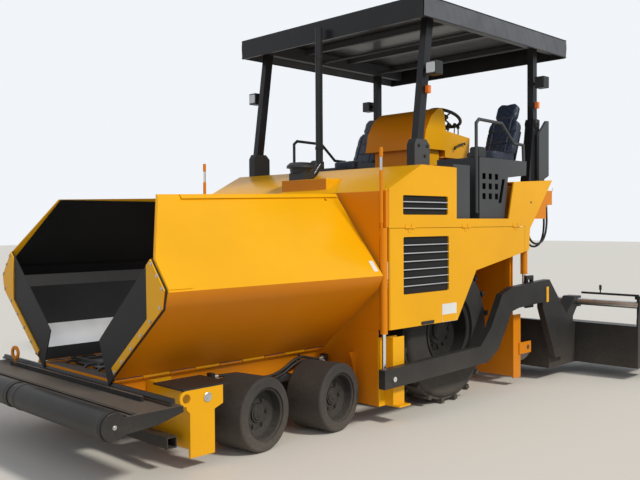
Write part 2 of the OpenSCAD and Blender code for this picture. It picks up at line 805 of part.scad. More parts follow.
// Levelling cylinders at the body's front corners, with the level indicators above
level_x = 1218;
level_y = wall_y + 10;
level_r = 32;
tow_rod_r = 18;
module level_cylinder() {
  difference() {
    translate([level_x, level_y, 770]) cylinder(h = 890, r = level_r);
    translate([level_x, level_y, 760]) cylinder(h = 500, r = tow_rod_r + run_fit);
  }
  for (z = [860, 1590])
    block([wall_half, wall_y, z], [level_x - 25, wall_y + wall_t, z + 60]);
  translate([level_x, level_y - 24, 1660 - small]) cylinder(h = 540, r = 9);
  translate([level_x, level_y - 24, 2200 - small]) cylinder(h = 130, r = 5);
}

module level_cylinders() {
  color("orange") both() level_cylinder();
}

tow_y = level_y;
tow_pin_r = 22;
arm_in = half_w + 12;
module tow_rod() {
  translate([level_x, level_y, tow_z]) cylinder(h = 740, r = tow_rod_r);
  rod_x(level_x - 28, arm_in - 6, tow_y, tow_z, 38);
  rod_x(level_x, arm_in + arm_t + 10, tow_y, tow_z, tow_pin_r);
}

module tow_rods() {
  color("silver") both() tow_rod();
}

// Push beam: platform with a lip, end plates that hold the rollers, and the middle bearing
plat_z = 530;
plat_t = 15;
end_t = 16;
shaft_r = 20;
roller_x = [28, push_half - 6];
module push_end(x0, x1, back) {
  difference() {
    union() {
      rod_x(x0, x1, roller_y, roller_z, roller_r - 6);
      slab(x0, x1, [
        [roller_y, roller_z - 60], [back - 190, roller_z - 40], [back, plat_z - 40],
        [back, plat_z], [roller_y + 40, plat_z], [roller_y, roller_z + 60]
      ]);
    }
    rod_x(x0 - 1, x1 + 1, roller_y, roller_z, shaft_r + run_fit);
  }
}

module push_beam() {
  color("dimgray") {
    block([-push_half, roller_y + roller_r + 8, plat_z - plat_t], [push_half, hop_y, plat_z]);
    both() block([frame_out + 30, hop_y - small, plat_z - plat_t], [push_half, hop_y + 70, plat_z]);
    block([-push_half, roller_y + roller_r + 8, plat_z - 45], [push_half, roller_y + roller_r + 20, plat_z]);
    block([-push_half, roller_y + roller_r + 30, plat_z - small], [push_half, roller_y + roller_r + 42, plat_z + 12]);
    both() push_end(push_half - small, push_half + end_t, hop_y + 70);
    push_end(-18, 18, hop_y - 40);
    block([-frame_out, roller_y + roller_r + 60, frame_low_z], [frame_out, front_cut, plat_z - plat_t + small]);
    block([-1000, hop_y - 60, plat_z - small], [1000, hop_y - 36, plat_z + 34]);
  }
}

module push_roller() {
  rod_x(roller_x[0], roller_x[1], roller_y, roller_z, roller_r);
  rod_x(3, push_half + end_t, roller_y, roller_z, shaft_r);
}

module push_roller_left() { color("dimgray") push_roller(); }
module push_roller_right() { color("dimgray") mirror([1, 0, 0]) push_roller(); }

// Hopper wing: one folded plate with hinge knuckles, a front flange and a pin lug
fold_low = [1197, 1150];
wing_slope_y = 254;
function unit(v) = v / norm(v);
function left_of(v) = [-v[1], v[0]];

module wing_plate() {
  a = [hinge_x, hinge_z];
  b = fold_low;
  c = [fold_x, fold_z];
  d = c + ([wing_top_x, wing_top_z] - c) * 1.08;
  n1 = left_of(unit(b - a)) * wing_t;
  n3 = left_of(unit(d - c)) * wing_t;
  n2 = left_of(unit(c - b)) * wing_t;
  start = unit(b - a) * (knuckle_r + 8);
  translate([0, wing_end_y, 0]) rotate([90, 0, 0]) linear_extrude(hopper_len)
    polygon([a + start, b, c, d, d + n3, c + (n2 + n3) * 0.62, b + (n1 + n2) * 0.55, a + start + n1]);
}

module wing() {
  a = [hinge_x, hinge_z];
  dir = unit(fold_low - a);
  difference() {
    wing_plate();
    slab(0, half_w + 10, [
      [hop_y - 1, 1469], [hop_y - 1, 2300], [wing_end_y + 1, 2300], [wing_end_y + 1, wing_top_z],
      [hop_y + wing_slope_y, 1912]
    ]);
    for (y = [hop_y + 822, hop_y + 1940])
      translate([720, y, 1880]) rotate([0, 50, 0]) cylinder(h = 120, r = 12, center = true);
  }
  difference() {
    for (i = [1 : 2 : knuckle_count - 1])
      translate([0, front_cut + i * knuckle_len + 3, 0]) {
        translate([hinge_x, 0, hinge_z]) rotate([-90, 0, 0]) cylinder(h = knuckle_len - 6, r = knuckle_r);
        translate([hinge_x, 0, hinge_z]) rotate([0, -atan2(dir[1], dir[0]), 0])
          block([0, 3, 2], [knuckle_r + 16, knuckle_len - 9, wing_t - 2]);
      }
    wing_pin(wing_pin_r + run_fit);
  }
  flange_y = hop_y - flap_t;
  translate([0, flange_y, 0]) rotate([90, 0, 0]) linear_extrude(10) polygon([
    [1060, 1471], [1222, 1274], [1197, 1150], [590, 646], [560, 692], [1018, 1075], [1013, 1430]
  ]);
}

// Rubber flap between the wing's front edge and its flange
module flap() {
  translate([0, hop_y, 0]) rotate([90, 0, 0]) linear_extrude(flap_t) polygon([
    [1062, 1478], [1234, 1276], [1208, 1146], [586, 632], [500, 556], [376, 870], [1000, 1430]
  ]);
}

module wing_left() { color("gold") wing(); }
module wing_right() { color("gold") mirror([1, 0, 0]) wing(); }
module flap_left() { color("dimgray") flap(); }
module flap_right() { color("dimgray") mirror([1, 0, 0]) flap(); }

// Front wheel steering: kingpin and stub axle, and the solid tyre on its rim
stub_r = 30;
fw_off = fw_x - king_x;
module steered(side, y) {
  translate([side * king_x, y, fw_r]) rotate([0, 0, steer_rest]) mirror([side < 0 ? 1 : 0, 0, 0]) children();
}

module knuckle() {
  cylinder(h = 2 * lug_z - 4, r = 38, center = true);
  cylinder(h = 2 * (lug_z + lug_t) + 10, r = pin_r, center = true);
  rotate([0, 90, 0]) cylinder(h = fw_off + 40, r = stub_r);
}

module front_wheel() {
  w = fw_w / 2;
  shoulder = 22;
  translate([fw_off, 0, 0]) rotate([0, 90, 0]) rotate_extrude($fn = 64) {
    difference() {
      union() {
        translate([190, -w]) square([fw_r - 190 - shoulder, fw_w]);
        translate([200, -w + shoulder]) square([fw_r - 200, fw_w - 2 * shoulder]);
        for (e = [-1, 1]) translate([fw_r - shoulder, e * (w - shoulder)]) circle(r = shoulder, $fn = 32);
      }
      for (e = [-1, 1]) translate([180, e * (w - 6) - 8]) square([23, 16]);
    }
    translate([stub_r + run_fit, 62]) square([170, 14]);
    translate([stub_r + run_fit, -80]) square([35, 170]);
    translate([0, 44]) square([66, 50]);
  }
}

front_y = bogie_y - fw_base / 2;
back_y = bogie_y + fw_base / 2;
module knuckle_front_left() { color("dimgray") steered(1, front_y) knuckle(); }
module knuckle_front_right() { color("dimgray") steered(-1, front_y) knuckle(); }
module knuckle_rear_left() { color("dimgray") steered(1, back_y) knuckle(); }
module knuckle_rear_right() { color("dimgray") steered(-1, back_y) knuckle(); }
module wheel_front_left() { color("black") steered(1, front_y) front_wheel(); }
module wheel_front_right() { color("black") steered(-1, front_y) front_wheel(); }
module wheel_rear_left() { color("black") steered(1, back_y) front_wheel(); }
module wheel_rear_right() { color("black") steered(-1, back_y) front_wheel(); }

// Drive tyre with lugs in two staggered rows, on a deep rim
module drive_tyre() {
  body_r = rw_r - lug_h;
  w = rw_w / 2;
  lug_half = 34;
  lug_top = sqrt(rw_r * rw_r - lug_half * lug_half);
  translate([rw_x, axle_y, rw_r]) rotate([0, 90, 0]) {
    rotate_extrude($fn = 72) difference() {
      union() {
        translate([rim_r, -w + 30]) square([body_r - rim_r - 50, rw_w - 60]);
        translate([rim_r + 60, -w]) square([body_r - rim_r - 140, rw_w]);
        translate([body_r - 90, -w + 40]) square([90, rw_w - 80]);
        for (e = [-1, 1]) translate([body_r - 80, e * (w - 60)]) circle(r = 60, $fn = 32);
      }
      translate([rim_r - 1, -w + 60]) square([120, rw_w - 120]);
    }
    for (e = [-1, 1], i = [0 : lug_count - 1])
      rotate([0, 0, (i + (e > 0 ? 0.5 : 0)) * 360 / lug_count])
        translate([body_r - 12, 0, 0])
          rotate([90, 0, 90]) linear_extrude(lug_top - body_r + 12)
            polygon([[-lug_half, e * 4], [4, e * 4], [lug_half, e * (w - 12)], [-12, e * (w - 12)]]);
  }
}

module drive_rim() {
  w = rw_w / 2;
  translate([rw_x, axle_y, rw_r]) rotate([0, 90, 0]) rotate_extrude($fn = 64) {
    translate([rim_r - 14, -w + 30]) square([14, rw_w - 60]);
    for (e = [-1, 1]) translate([rim_r - 14, e * (w - 24) - 6]) square([30, 12]);
    translate([spindle_r + run_fit, 20]) square([rim_r - spindle_r - 7, 18]);
    translate([spindle_r + run_fit, -30]) square([50, 80]);
  }
}

module drive_tyre_left() { color("black") drive_tyre(); }
module drive_tyre_right() { color("black") mirror([1, 0, 0]) drive_tyre(); }
module drive_rim_left() { color("dimgray") drive_rim(); }
module drive_rim_right() { color("dimgray") mirror([1, 0, 0]) drive_rim(); }

// Tow arm: one cranked plate, [distance behind the tow pin, height above it] along the top
// edge and back along the lower edge
arm_top = [[-120, 87], [1265, 127], [1450, 291], [1643, 592], [1842, 650], [2420, 685]];
arm_low = [[2420, 458], [1955, 437], [1819, 412], [1578, 67], [1388, -38], [-120, -73]];
lift_x = shell_half + 70;
lift_y = wall_y + 2290;
lift_pin_r = 15;
lift_top_z = 1600;
lift_eye_z = 980;
lift_travel = 106;
slot_play = 18;
barrel_r = 36;
module tow_arm() {
  difference() {
    slab(arm_in, arm_in + arm_t, [for (p = concat(arm_top, arm_low)) [tow_y + p[0], tow_z + p[1]]]);
    rod_x(arm_in - 1, arm_in + arm_t + 1, tow_y, tow_z, tow_pin_r + run_fit);
  }
  slab(arm_in, arm_in + arm_t, [
    [tow_y + 2420 - small, tow_z + 685], [tow_y + 2560, tow_z + 690], [screed_y + 260, 700],
    [screed_y + 260, screed_z + 120], [screed_y + 20, screed_z + 120], [tow_y + 2420 - small, tow_z + 400]
  ]);
  slab(half_w, arm_in + small, [
    [screed_y, screed_z], [screed_y + screed_depth, screed_z],
    [screed_y + screed_depth, screed_top - 70], [screed_y + 60, screed_top], [screed_y, screed_top]
  ]);
  difference() {
    block([lift_x + barrel_r + move_gap, lift_y - 70, lift_eye_z - lift_travel - 60],
          [arm_in + small, lift_y + 70, lift_eye_z + lift_travel + 60]);
    block([lift_x + barrel_r, lift_y - lift_pin_r - slot_play, lift_eye_z - lift_travel - 20],
          [arm_in + 1, lift_y + lift_pin_r + slot_play, lift_eye_z + lift_travel + 20]);
  }
}

module tow_arms() {
  color("dimgray") both() tow_arm();
}

// Main screed: box with a slanted top, end plates, guide blocks and the middle step
guide_bar = [screed_y + 700, 800];
guide_bar_r = 38;
screed_top = screed_z + screed_h;
screed_t = 16;
module screed_body() {
  color("black") {
    difference() {
      slab(-half_w, half_w, [
        [screed_y, screed_z], [screed_y + screed_depth, screed_z],
        [screed_y + screed_depth, screed_top - 70], [screed_y + 60, screed_top], [screed_y, screed_top]
      ]);
      slab(-half_w - 1, half_w + 1, [
        [screed_y + screed_t, screed_z + 40], [screed_y + screed_depth - screed_t, screed_z + 40],
        [screed_y + screed_depth - screed_t, screed_top - 84], [screed_y + 60, screed_top - screed_t],
        [screed_y + screed_t, screed_top - screed_t]
      ]);
    }
    both() difference() {
      slab(1090, 1240, [
        [screed_y + 300, screed_top - 80], [screed_y + screed_depth - 10, screed_top - 80],
        [screed_y + screed_depth - 10, screed_top], [guide_bar[0] - 30, guide_bar[1] - 60],
        [guide_bar[0] + 70, guide_bar[1] - 60], [guide_bar[0] + 70, guide_bar[1] + 60],
        [guide_bar[0] - 70, guide_bar[1] + 60]
      ]);
      rod_x(1080, 1250, guide_bar[0], guide_bar[1], guide_bar_r + run_fit);
    }
    block([-170, screed_y + screed_depth - small, 230],
          [170, screed_y + screed_depth + ext_gap + ext_depth + walk_depth, 270]);
  }
}

// Screed extension: box behind the main screed, end plate, guide bar and its walkway
ext_len = 1100;
ext_end = half_w + ext_out + 50;
ext_y = screed_y + screed_depth + ext_gap;
module screed_extension() {
  x1 = ext_end;
  x0 = ext_end - ext_len;
  difference() {
    slab(x0, x1, [
      [ext_y, screed_z], [ext_y + ext_depth, screed_z], [ext_y + ext_depth, screed_top - 90],
      [ext_y, screed_top - 60]
    ]);
    slab(x0 - 1, x1 - screed_t, [
      [ext_y + screed_t, screed_z + 40], [ext_y + ext_depth - screed_t, screed_z + 40],
      [ext_y + ext_depth - screed_t, screed_top - 90 - screed_t], [ext_y + screed_t, screed_top - 60 - screed_t]
    ]);
  }
  slab(x1 - small, x1 + 20, [
    [ext_y, screed_z], [ext_y + ext_depth, screed_z], [ext_y + ext_depth, screed_top],
    [guide_bar[0] + 60, guide_bar[1] + 50], [guide_bar[0] - 60, guide_bar[1] + 50], [ext_y, screed_top]
  ]);
  rod_x(x1 - 1150, x1, guide_bar[0], guide_bar[1], guide_bar_r);
  block([x0 + 40, ext_y + ext_depth - small, 230], [x1, ext_y + ext_depth + walk_depth, 270]);
}

module screed_extension_left() { color("dimgray") screed_extension(); }
module screed_extension_right() { color("dimgray") mirror([1, 0, 0]) screed_extension(); }

// Screed lift cylinders: barrels hung inside the tail, rods with a cross pin in the arms' slots
barrel_low = 1160;
lift_rod_r = 20;
module lift_barrel() {
  difference() {
    union() {
      translate([lift_x, lift_y, barrel_low]) cylinder(h = 380, r = barrel_r);
      rod_x(lift_x - 20, lift_x + 20, lift_y, lift_top_z, 34);
      block([lift_x - 18, lift_y - 20, 1520], [lift_x + 18, lift_y + 20, lift_top_z]);
    }
    rod_x(lift_x - 40, lift_x + 40, lift_y, lift_top_z, lift_pin_r + run_fit);
    translate([lift_x, lift_y, barrel_low - 1]) cylinder(h = 340, r = lift_rod_r + run_fit);
  }
}

module lift_barrels() {
  color("orange") both() lift_barrel();
}

module lift_rod() {
  translate([lift_x, lift_y, lift_eye_z]) cylinder(h = 400, r = lift_rod_r);
  rod_x(lift_x - 18, lift_x + 20, lift_y, lift_eye_z, 30);
  rod_x(lift_x, arm_in - move_gap, lift_y, lift_eye_z, lift_pin_r);
}

module lift_rods() {
  color("silver") both() lift_rod();
}

// Augers: a shaft from the middle gearbox to the end bearing, with one helical flight
auger_y = wall_y + 2420;
auger_z = 380;
auger_x = [70, 1125];
flight_arc = 14;
module auger() {
  turns = (auger_x[1] - auger_x[0] - 40) / auger_pitch;
  rod_x(auger_x[0], auger_x[1], auger_y, auger_z, 45);
  rod_x(3, auger_x[0] + small, auger_y, auger_z, 30);
  rod_x(auger_x[1] - small, 1162, auger_y, auger_z, 25);
  translate([auger_x[0] + 20, auger_y, auger_z]) rotate([0, 90, 0])
    linear_extrude(auger_x[1] - auger_x[0] - 40, twist = -360 * turns, slices = round(20 * turns), segments = 8)
      polygon([
        [40 * cos(flight_arc), -40 * sin(flight_arc)], [auger_r * cos(4), -auger_r * sin(4)],
        [auger_r * cos(4), auger_r * sin(4)], [40 * cos(flight_arc), 40 * sin(flight_arc)]
      ]);
}

module auger_left() { color("gray") auger(); }
module auger_right() { color("gray") mirror([1, 0, 0]) auger(); }

main_frame();
feeder_floor();
feeder_chains();
running_gear();
front_brackets();
front_wall();
hood();
side_panel_left();
side_panel_right();
engine();
deck();
seat_consoles();
seat_left();
seat_right();
console();
controls();
canopy_posts();
canopy_roof();
canopy_curtains();
exhaust_stack();
air_precleaner();
lamps();
tow_guides();
level_cylinders();
rear_body();
push_beam();
push_roller_left();
push_roller_right();
wing_left();
wing_right();
flap_left();
flap_right();
knuckle_front_left();
knuckle_front_right();
knuckle_rear_left();
knuckle_rear_right();
wheel_front_left();
wheel_front_right();
wheel_rear_left();
wheel_rear_right();
drive_tyre_left();
drive_tyre_right();
drive_rim_left();
drive_rim_right();
side_door_left();
side_door_right();
tow_rods();
tow_arms();
screed_body();
screed_extension_left();
screed_extension_right();
lift_barrels();
lift_rods();
auger_left();
auger_right();
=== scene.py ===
"""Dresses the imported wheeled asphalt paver: finishes, soft parts, hoses and small fittings.

Lengths are in metres. The front is -Y, the machine's left is +X and the floor is at Z 0.
"""

import json
import math

import bpy
from mathutils import Matrix, Vector

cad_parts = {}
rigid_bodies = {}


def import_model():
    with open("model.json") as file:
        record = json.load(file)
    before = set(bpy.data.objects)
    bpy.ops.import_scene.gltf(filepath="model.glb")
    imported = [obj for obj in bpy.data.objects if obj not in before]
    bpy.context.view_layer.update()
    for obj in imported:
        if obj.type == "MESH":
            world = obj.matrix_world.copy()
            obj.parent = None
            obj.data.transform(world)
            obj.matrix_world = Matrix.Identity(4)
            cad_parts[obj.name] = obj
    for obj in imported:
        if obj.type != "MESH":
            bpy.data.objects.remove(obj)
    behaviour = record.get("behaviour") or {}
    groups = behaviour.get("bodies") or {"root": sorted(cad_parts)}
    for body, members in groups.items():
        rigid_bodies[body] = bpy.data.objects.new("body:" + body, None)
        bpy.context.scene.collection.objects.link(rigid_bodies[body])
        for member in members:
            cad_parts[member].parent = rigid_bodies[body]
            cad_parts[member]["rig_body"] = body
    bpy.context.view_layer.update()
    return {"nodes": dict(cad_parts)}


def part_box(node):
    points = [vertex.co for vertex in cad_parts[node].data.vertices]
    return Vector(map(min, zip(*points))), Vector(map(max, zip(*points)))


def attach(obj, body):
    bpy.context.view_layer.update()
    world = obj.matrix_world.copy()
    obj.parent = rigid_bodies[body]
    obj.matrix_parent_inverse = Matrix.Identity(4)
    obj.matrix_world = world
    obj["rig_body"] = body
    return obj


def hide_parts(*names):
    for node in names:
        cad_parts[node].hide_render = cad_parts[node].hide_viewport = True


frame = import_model()
NODES = frame["nodes"]

bl_info = {
    "name": "Wheeled asphalt paver",
    "version": (1, 0, 0),
    "blender": (4, 5, 0),
    "location": "View3D > Sidebar > Paver",
    "description": "Finishes, soft parts and fittings of a wheeled asphalt paver",
    "category": "Object",
}

UP = (0, 0, 1)
SIDES = (("left", 1), ("right", -1))

# Planes of the body: the front wall's, and the outer face of the side panels and doors
WALL_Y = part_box("front_wall")[0].y + 0.06
SIDE_X = 1.25

# The hopper's wings: their ends, the corners of their section as (x, z), and their sheet
HOP_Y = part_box("wing_left")[0].y + 0.02
WING_END_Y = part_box("wing_left")[1].y
HINGE = (0.540, 0.590)
FOLD_LOW = (1.197, 1.150)
FOLD = (1.250, 1.262)
WING_TOP = (0.700, 1.960)
WING_T = 0.014
# The upper plate's front edge leans back over these heights; its normal has this share along x
CUT_LOW, CUT_TOP, CUT_SLOPE = 1.469, 1.902, 0.585
PLATE_NORMAL_X = 0.786

# Front wheels: axle height, place of the kingpins, disc's distance from them, steering at rest
AXLE_Z = 0.2795
KINGPIN_X = 0.640
KINGPIN_Y = (("front", -1.940), ("rear", -1.140))
DISC_OUT = 0.272
STEER_REST = math.radians(9)

# Seats: middle of the left one, the right one's shift along y, and (y, z, lean) of back and head part
SEAT_X = 0.910
RIGHT_SEAT_Y = -0.100
BACK = (1.560, 2.375, 21.0)
HEAD = (1.705, 2.772, 23.0)


# ---------------------------------------------------------------- sizes and colours

COLOUR = {"size": 3, "min": 0, "max": 1}


class PaverColours(bpy.types.PropertyGroup):
    """Colours of the machine's finishes"""

    body: bpy.props.FloatVectorProperty(
        name="Body paint", description="Paint of the hood, wings and doors", subtype="COLOR",
        default=(0.79, 0.375, 0.001), **COLOUR)
    # the frame paint is the body's yellow made a deeper orange: painted shade for the frame, walls and tail
    frame: bpy.props.FloatVectorProperty(
        name="Frame paint deepened for painted shade", description="Paint of the frame, walls and tail", subtype="COLOR",
        default=(0.68, 0.215, 0.001), **COLOUR)
    dark: bpy.props.FloatVectorProperty(
        name="Dark paint", description="Paint of the push beam, tow arms and screed", subtype="COLOR",
        default=(0.018, 0.018, 0.018), **COLOUR)
    box: bpy.props.FloatVectorProperty(
        name="Box paint", description="Paint of the seat boxes", subtype="COLOR",
        default=(0.062, 0.064, 0.066), **COLOUR)
    cover: bpy.props.FloatVectorProperty(
        name="Seat cover", description="Cover of the seats", subtype="COLOR",
        default=(0.016, 0.024, 0.044), **COLOUR)
    curtain: bpy.props.FloatVectorProperty(
        name="Curtain", description="Tarpaulin of the canopy", subtype="COLOR",
        default=(0.085, 0.090, 0.100), **COLOUR)


class PaverSizes(bpy.types.PropertyGroup):
    """Sizes of the fittings"""

    bolt_r: bpy.props.FloatProperty(
        name="Bolt head", description="Radius of a bolt head", default=0.012, unit="LENGTH")
    bolt_h: bpy.props.FloatProperty(
        name="Bolt height", description="Height of a bolt head", default=0.009, unit="LENGTH")
    edge: bpy.props.FloatProperty(
        name="Edge rounding", description="Usual rounding of a plate's edges", default=0.003, unit="LENGTH")
    hose_r: bpy.props.FloatProperty(
        name="Hose radius", description="Radius of a hydraulic hose", default=0.013, unit="LENGTH")
    liner_t: bpy.props.FloatProperty(
        name="Liner thickness", description="Thickness of the wear plates", default=0.004, unit="LENGTH")


def sizes():
    return bpy.context.scene.paver_sizes


# ---------------------------------------------------------------- shader groups


def feed(tree, socket, value):
    """Links a socket to another node's output, or sets its value."""
    if isinstance(value, bpy.types.NodeSocket):
        tree.links.new(value, socket)
    else:
        socket.default_value = value


def feed_all(tree, target, values):
    """Feeds a node's inputs by name, with spaces for underscores."""
    for key, value in values.items():
        feed(tree, target.inputs[key.replace("_", " ")], value)
    return target


def node(tree, kind, **values):
    return feed_all(tree, tree.nodes.new(kind), values)


def math_node(tree, operation, *values, clamp=False):
    made = tree.nodes.new("ShaderNodeMath")
    made.operation = operation
    made.use_clamp = clamp
    for socket, value in zip(made.inputs, values):
        feed(tree, socket, value)
    return made.outputs[0]


def mix_colour(tree, factor, a, b, blend="MIX"):
    made = tree.nodes.new("ShaderNodeMix")
    made.data_type = "RGBA"
    made.blend_type = blend
    for i, value in ((0, factor), (6, a), (7, b)):
        feed(tree, made.inputs[i], value)
    return made.outputs[2]


def spread(tree, value, *ends):
    """Maps a value from (low, high) to 0 and 1, or to a third and fourth end, clamped."""
    made = tree.nodes.new("ShaderNodeMapRange")
    for socket, end in zip(made.inputs, (value, *ends)):
        feed(tree, socket, end)
    return made.outputs[0]


def place_of(tree):
    return tree.nodes.new("ShaderNodeTexCoord").outputs["Object"]


def noise(tree, scale, detail, roughness=0.5, place=None):
    """The value of a noise on object coordinates, or on another place."""
    made = node(tree, "ShaderNodeTexNoise", Vector=place_of(tree) if place is None else place,
                Scale=scale, Detail=detail, Roughness=roughness)
    return made.outputs["Fac"]


def shaded(tree, entry, source, amount):
    """The entry's colour, lighter and darker with a noise."""
    shade = spread(tree, source, 0.3, 0.7, -1.0, 1.0)
    shade = math_node(tree, "ADD", 1.0, math_node(tree, "MULTIPLY", shade, entry.outputs[amount]))
    grey = node(tree, "ShaderNodeCombineColor", Red=shade, Green=shade, Blue=shade)
    return mix_colour(tree, 1.0, entry.outputs["Color"], grey.outputs[0], "MULTIPLY")


def new_group(name, inputs, outputs):
    """An empty shader group with named sockets, its entry node and its exit node."""
    tree = bpy.data.node_groups.new(name, "ShaderNodeTree")
    for label, default in inputs.items():
        kind = {3: "Vector", 4: "Color"}[len(default)] if isinstance(default, tuple) else "Float"
        socket = tree.interface.new_socket(name=label, in_out="INPUT", socket_type="NodeSocket" + kind)
        socket.default_value = default
    for label in outputs:
        kind = "Color" if label == "Color" else "Float"
        tree.interface.new_socket(name=label, in_out="OUTPUT", socket_type="NodeSocket" + kind)
    return tree, tree.nodes.new("NodeGroupInput"), tree.nodes.new("NodeGroupOutput")


def dust_group():
    """Road dust: thick near the ground, in patches higher up."""
    tree, entry, leave = new_group(
        "Road dust", {"Color": (0.5, 0.5, 0.5, 1), "Amount": 0.5, "Height": 1.0, "Roughness": 0.4},
        ("Color", "Roughness"))
    axes = node(tree, "ShaderNodeSeparateXYZ", Vector=place_of(tree))
    low = math_node(tree, "DIVIDE", axes.outputs[2], entry.outputs["Height"])
    low = math_node(tree, "SUBTRACT", 1.0, low, clamp=True)
    low = math_node(tree, "POWER", low, 1.6)
    patchy = spread(tree, noise(tree, 3.1, 7.0, 0.62), 0.42, 0.72)
    fine = spread(tree, noise(tree, 46.0, 3.0, 0.6), 0.35, 0.75, 0.55, 1.0)
    mask = math_node(tree, "ADD", math_node(tree, "MULTIPLY", low, 0.75),
                     math_node(tree, "MULTIPLY", patchy, 0.16))
    mask = math_node(tree, "MULTIPLY", mask, fine)
    mask = math_node(tree, "MULTIPLY", mask, entry.outputs["Amount"], clamp=True)
    rough = math_node(tree, "ADD", entry.outputs["Roughness"], math_node(tree, "MULTIPLY", mask, 0.5),
                      clamp=True)
    dusty = mix_colour(tree, mask, entry.outputs["Color"], (0.23, 0.19, 0.145, 1))
    feed_all(tree, leave, {"Color": dusty, "Roughness": rough})
    return tree


def tone_group():
    """Slow and fine changes of tone over a painted sheet, with a fine height for its surface."""
    tree, entry, leave = new_group(
        "Paint tone", {"Color": (0.5, 0.5, 0.5, 1), "Variation": 0.08, "Grain": 60.0},
        ("Color", "Height", "Sheen mask"))
    slow = noise(tree, 1.3, 3.0)
    fine = noise(tree, entry.outputs["Grain"], 2.0)
    height = math_node(tree, "ADD", math_node(tree, "MULTIPLY", slow, 2.0),
                       math_node(tree, "MULTIPLY", fine, 0.12))
    feed_all(tree, leave, {"Color": shaded(tree, entry, slow, "Variation"), "Height": height,
                           "Sheen mask": slow})
    return tree


def scuff_group():
    """Long thin scratches and rubbed patches, mostly along one direction."""
    tree, entry, leave = new_group(
        "Scuffs", {"Amount": 0.5, "Scale": 8.0, "Stretch": (1.0, 0.08, 1.0)}, ("Mask",))
    drawn = node(tree, "ShaderNodeMapping", Vector=place_of(tree), Scale=entry.outputs["Stretch"])
    lines = noise(tree, entry.outputs["Scale"], 9.0, 0.72, drawn.outputs[0])
    mask = math_node(tree, "MULTIPLY", spread(tree, lines, 0.52, 0.70),
                     spread(tree, noise(tree, 2.3, 4.0), 0.40, 0.62))
    feed_all(tree, leave, {"Mask": math_node(tree, "MULTIPLY", mask, entry.outputs["Amount"], clamp=True)})
    return tree


def weave_group():
    """Plain weave: two crossed sets of threads on object coordinates."""
    tree, entry, leave = new_group(
        "Weave", {"Threads": 400.0, "Fading": 0.25, "Color": (0.2, 0.2, 0.2, 1)}, ("Color", "Height"))
    axes = node(tree, "ShaderNodeSeparateXYZ", Vector=place_of(tree))
    threads = []
    for axis in (1, 2):
        run = math_node(tree, "MULTIPLY", axes.outputs[axis], entry.outputs["Threads"])
        threads.append(math_node(tree, "ABSOLUTE", math_node(tree, "SINE", run)))
    feed_all(tree, leave, {"Color": shaded(tree, entry, noise(tree, 2.6, 5.0), "Fading"),
                           "Height": math_node(tree, "MAXIMUM", *threads)})
    return tree


GROUP_MAKERS = {"Road dust": dust_group, "Paint tone": tone_group, "Scuffs": scuff_group,
                "Weave": weave_group}
GROUPS = {}


def use_group(tree, name, **values):
    if name not in GROUPS:
        GROUPS[name] = GROUP_MAKERS[name]()
    made = tree.nodes.new("ShaderNodeGroup")
    made.node_tree = GROUPS[name]
    return feed_all(tree, made, values).outputs


# ---------------------------------------------------------------- materials


def start_material(name):
    made = bpy.data.materials.new(name)
    made.use_nodes = True
    return made, made.node_tree


def shade(tree, **values):
    """Feeds the material's own shader."""
    feed_all(tree, tree.nodes["Principled BSDF"], values)


def bump(tree, height, strength, distance):
    return node(tree, "ShaderNodeBump", Height=height, Strength=strength, Distance=distance).outputs[0]


def dusted(name, colour, roughness, variation, grain, dust, dust_height, relief, **values):
    """A surface of changing tone with a low relief and with road dust near the ground."""
    made, tree = start_material(name)
    tone = use_group(tree, "Paint tone", Color=(*colour, 1), Variation=variation, Grain=grain)
    dusty = use_group(tree, "Road dust", Color=tone["Color"], Amount=dust, Height=dust_height,
                      Roughness=roughness)
    shade(tree, Base_Color=dusty["Color"], Roughness=dusty["Roughness"],
          Normal=bump(tree, tone["Height"], relief, 0.004), **values)
    return made


def paint(name, colour, roughness, coat=0.0, variation=0.05, dust=0.5, dust_height=1.4, grain=60.0):
    """Painted sheet metal with a slightly wavy gloss."""
    return dusted(name, colour, roughness, variation, grain, dust, dust_height, 0.25,
                  Specular_IOR_Level=0.18, Coat_Weight=coat, Coat_Roughness=0.08)


def rubber(name, colour, roughness=0.72, dust=0.5):
    """Rubber of a tyre, flap or hose, greyed by dust."""
    return dusted(name, colour, roughness, 0.22, 90.0, dust, 0.9, 0.6, Specular_IOR_Level=0.35)


def bare_metal(name, colour, roughness, metallic=1.0, scratch=0.8, stretch=(1.0, 0.06, 1.0)):
    """Steel rubbed bright, with darker drawn scratches."""
    made, tree = start_material(name)
    tone = use_group(tree, "Paint tone", Color=(*colour, 1), Variation=0.12, Grain=120.0)
    scuffs = use_group(tree, "Scuffs", Amount=scratch, Scale=14.0, Stretch=stretch)["Mask"]
    shade(tree, Base_Color=mix_colour(tree, scuffs, tone["Color"], (0.05, 0.045, 0.04, 1)),
          Roughness=spread(tree, tone["Sheen mask"], 0.3, 0.7, roughness - 0.1, roughness + 0.14),
          Metallic=metallic, Normal=bump(tree, scuffs, 0.35, 0.001))
    return made


def cloth(name, colour, threads=900.0, roughness=0.62, fading=0.18):
    """Woven cloth, faded in patches."""
    made, tree = start_material(name)
    weave = use_group(tree, "Weave", Color=(*colour, 1), Threads=threads, Fading=fading)
    shade(tree, Base_Color=weave["Color"], Roughness=roughness,
          Normal=bump(tree, weave["Height"], 0.4, 0.0012))
    return made


def plastic(name, colour, roughness=0.45):
    """Plastic or enamel with a fine grain."""
    made, tree = start_material(name)
    tone = use_group(tree, "Paint tone", Color=(*colour, 1), Variation=0.10, Grain=260.0)
    shade(tree, Base_Color=tone["Color"],
          Roughness=spread(tree, tone["Sheen mask"], 0.3, 0.7, roughness - 0.06, roughness + 0.08),
          Normal=bump(tree, tone["Height"], 0.3, 0.0015))
    return made


MATERIALS = {}


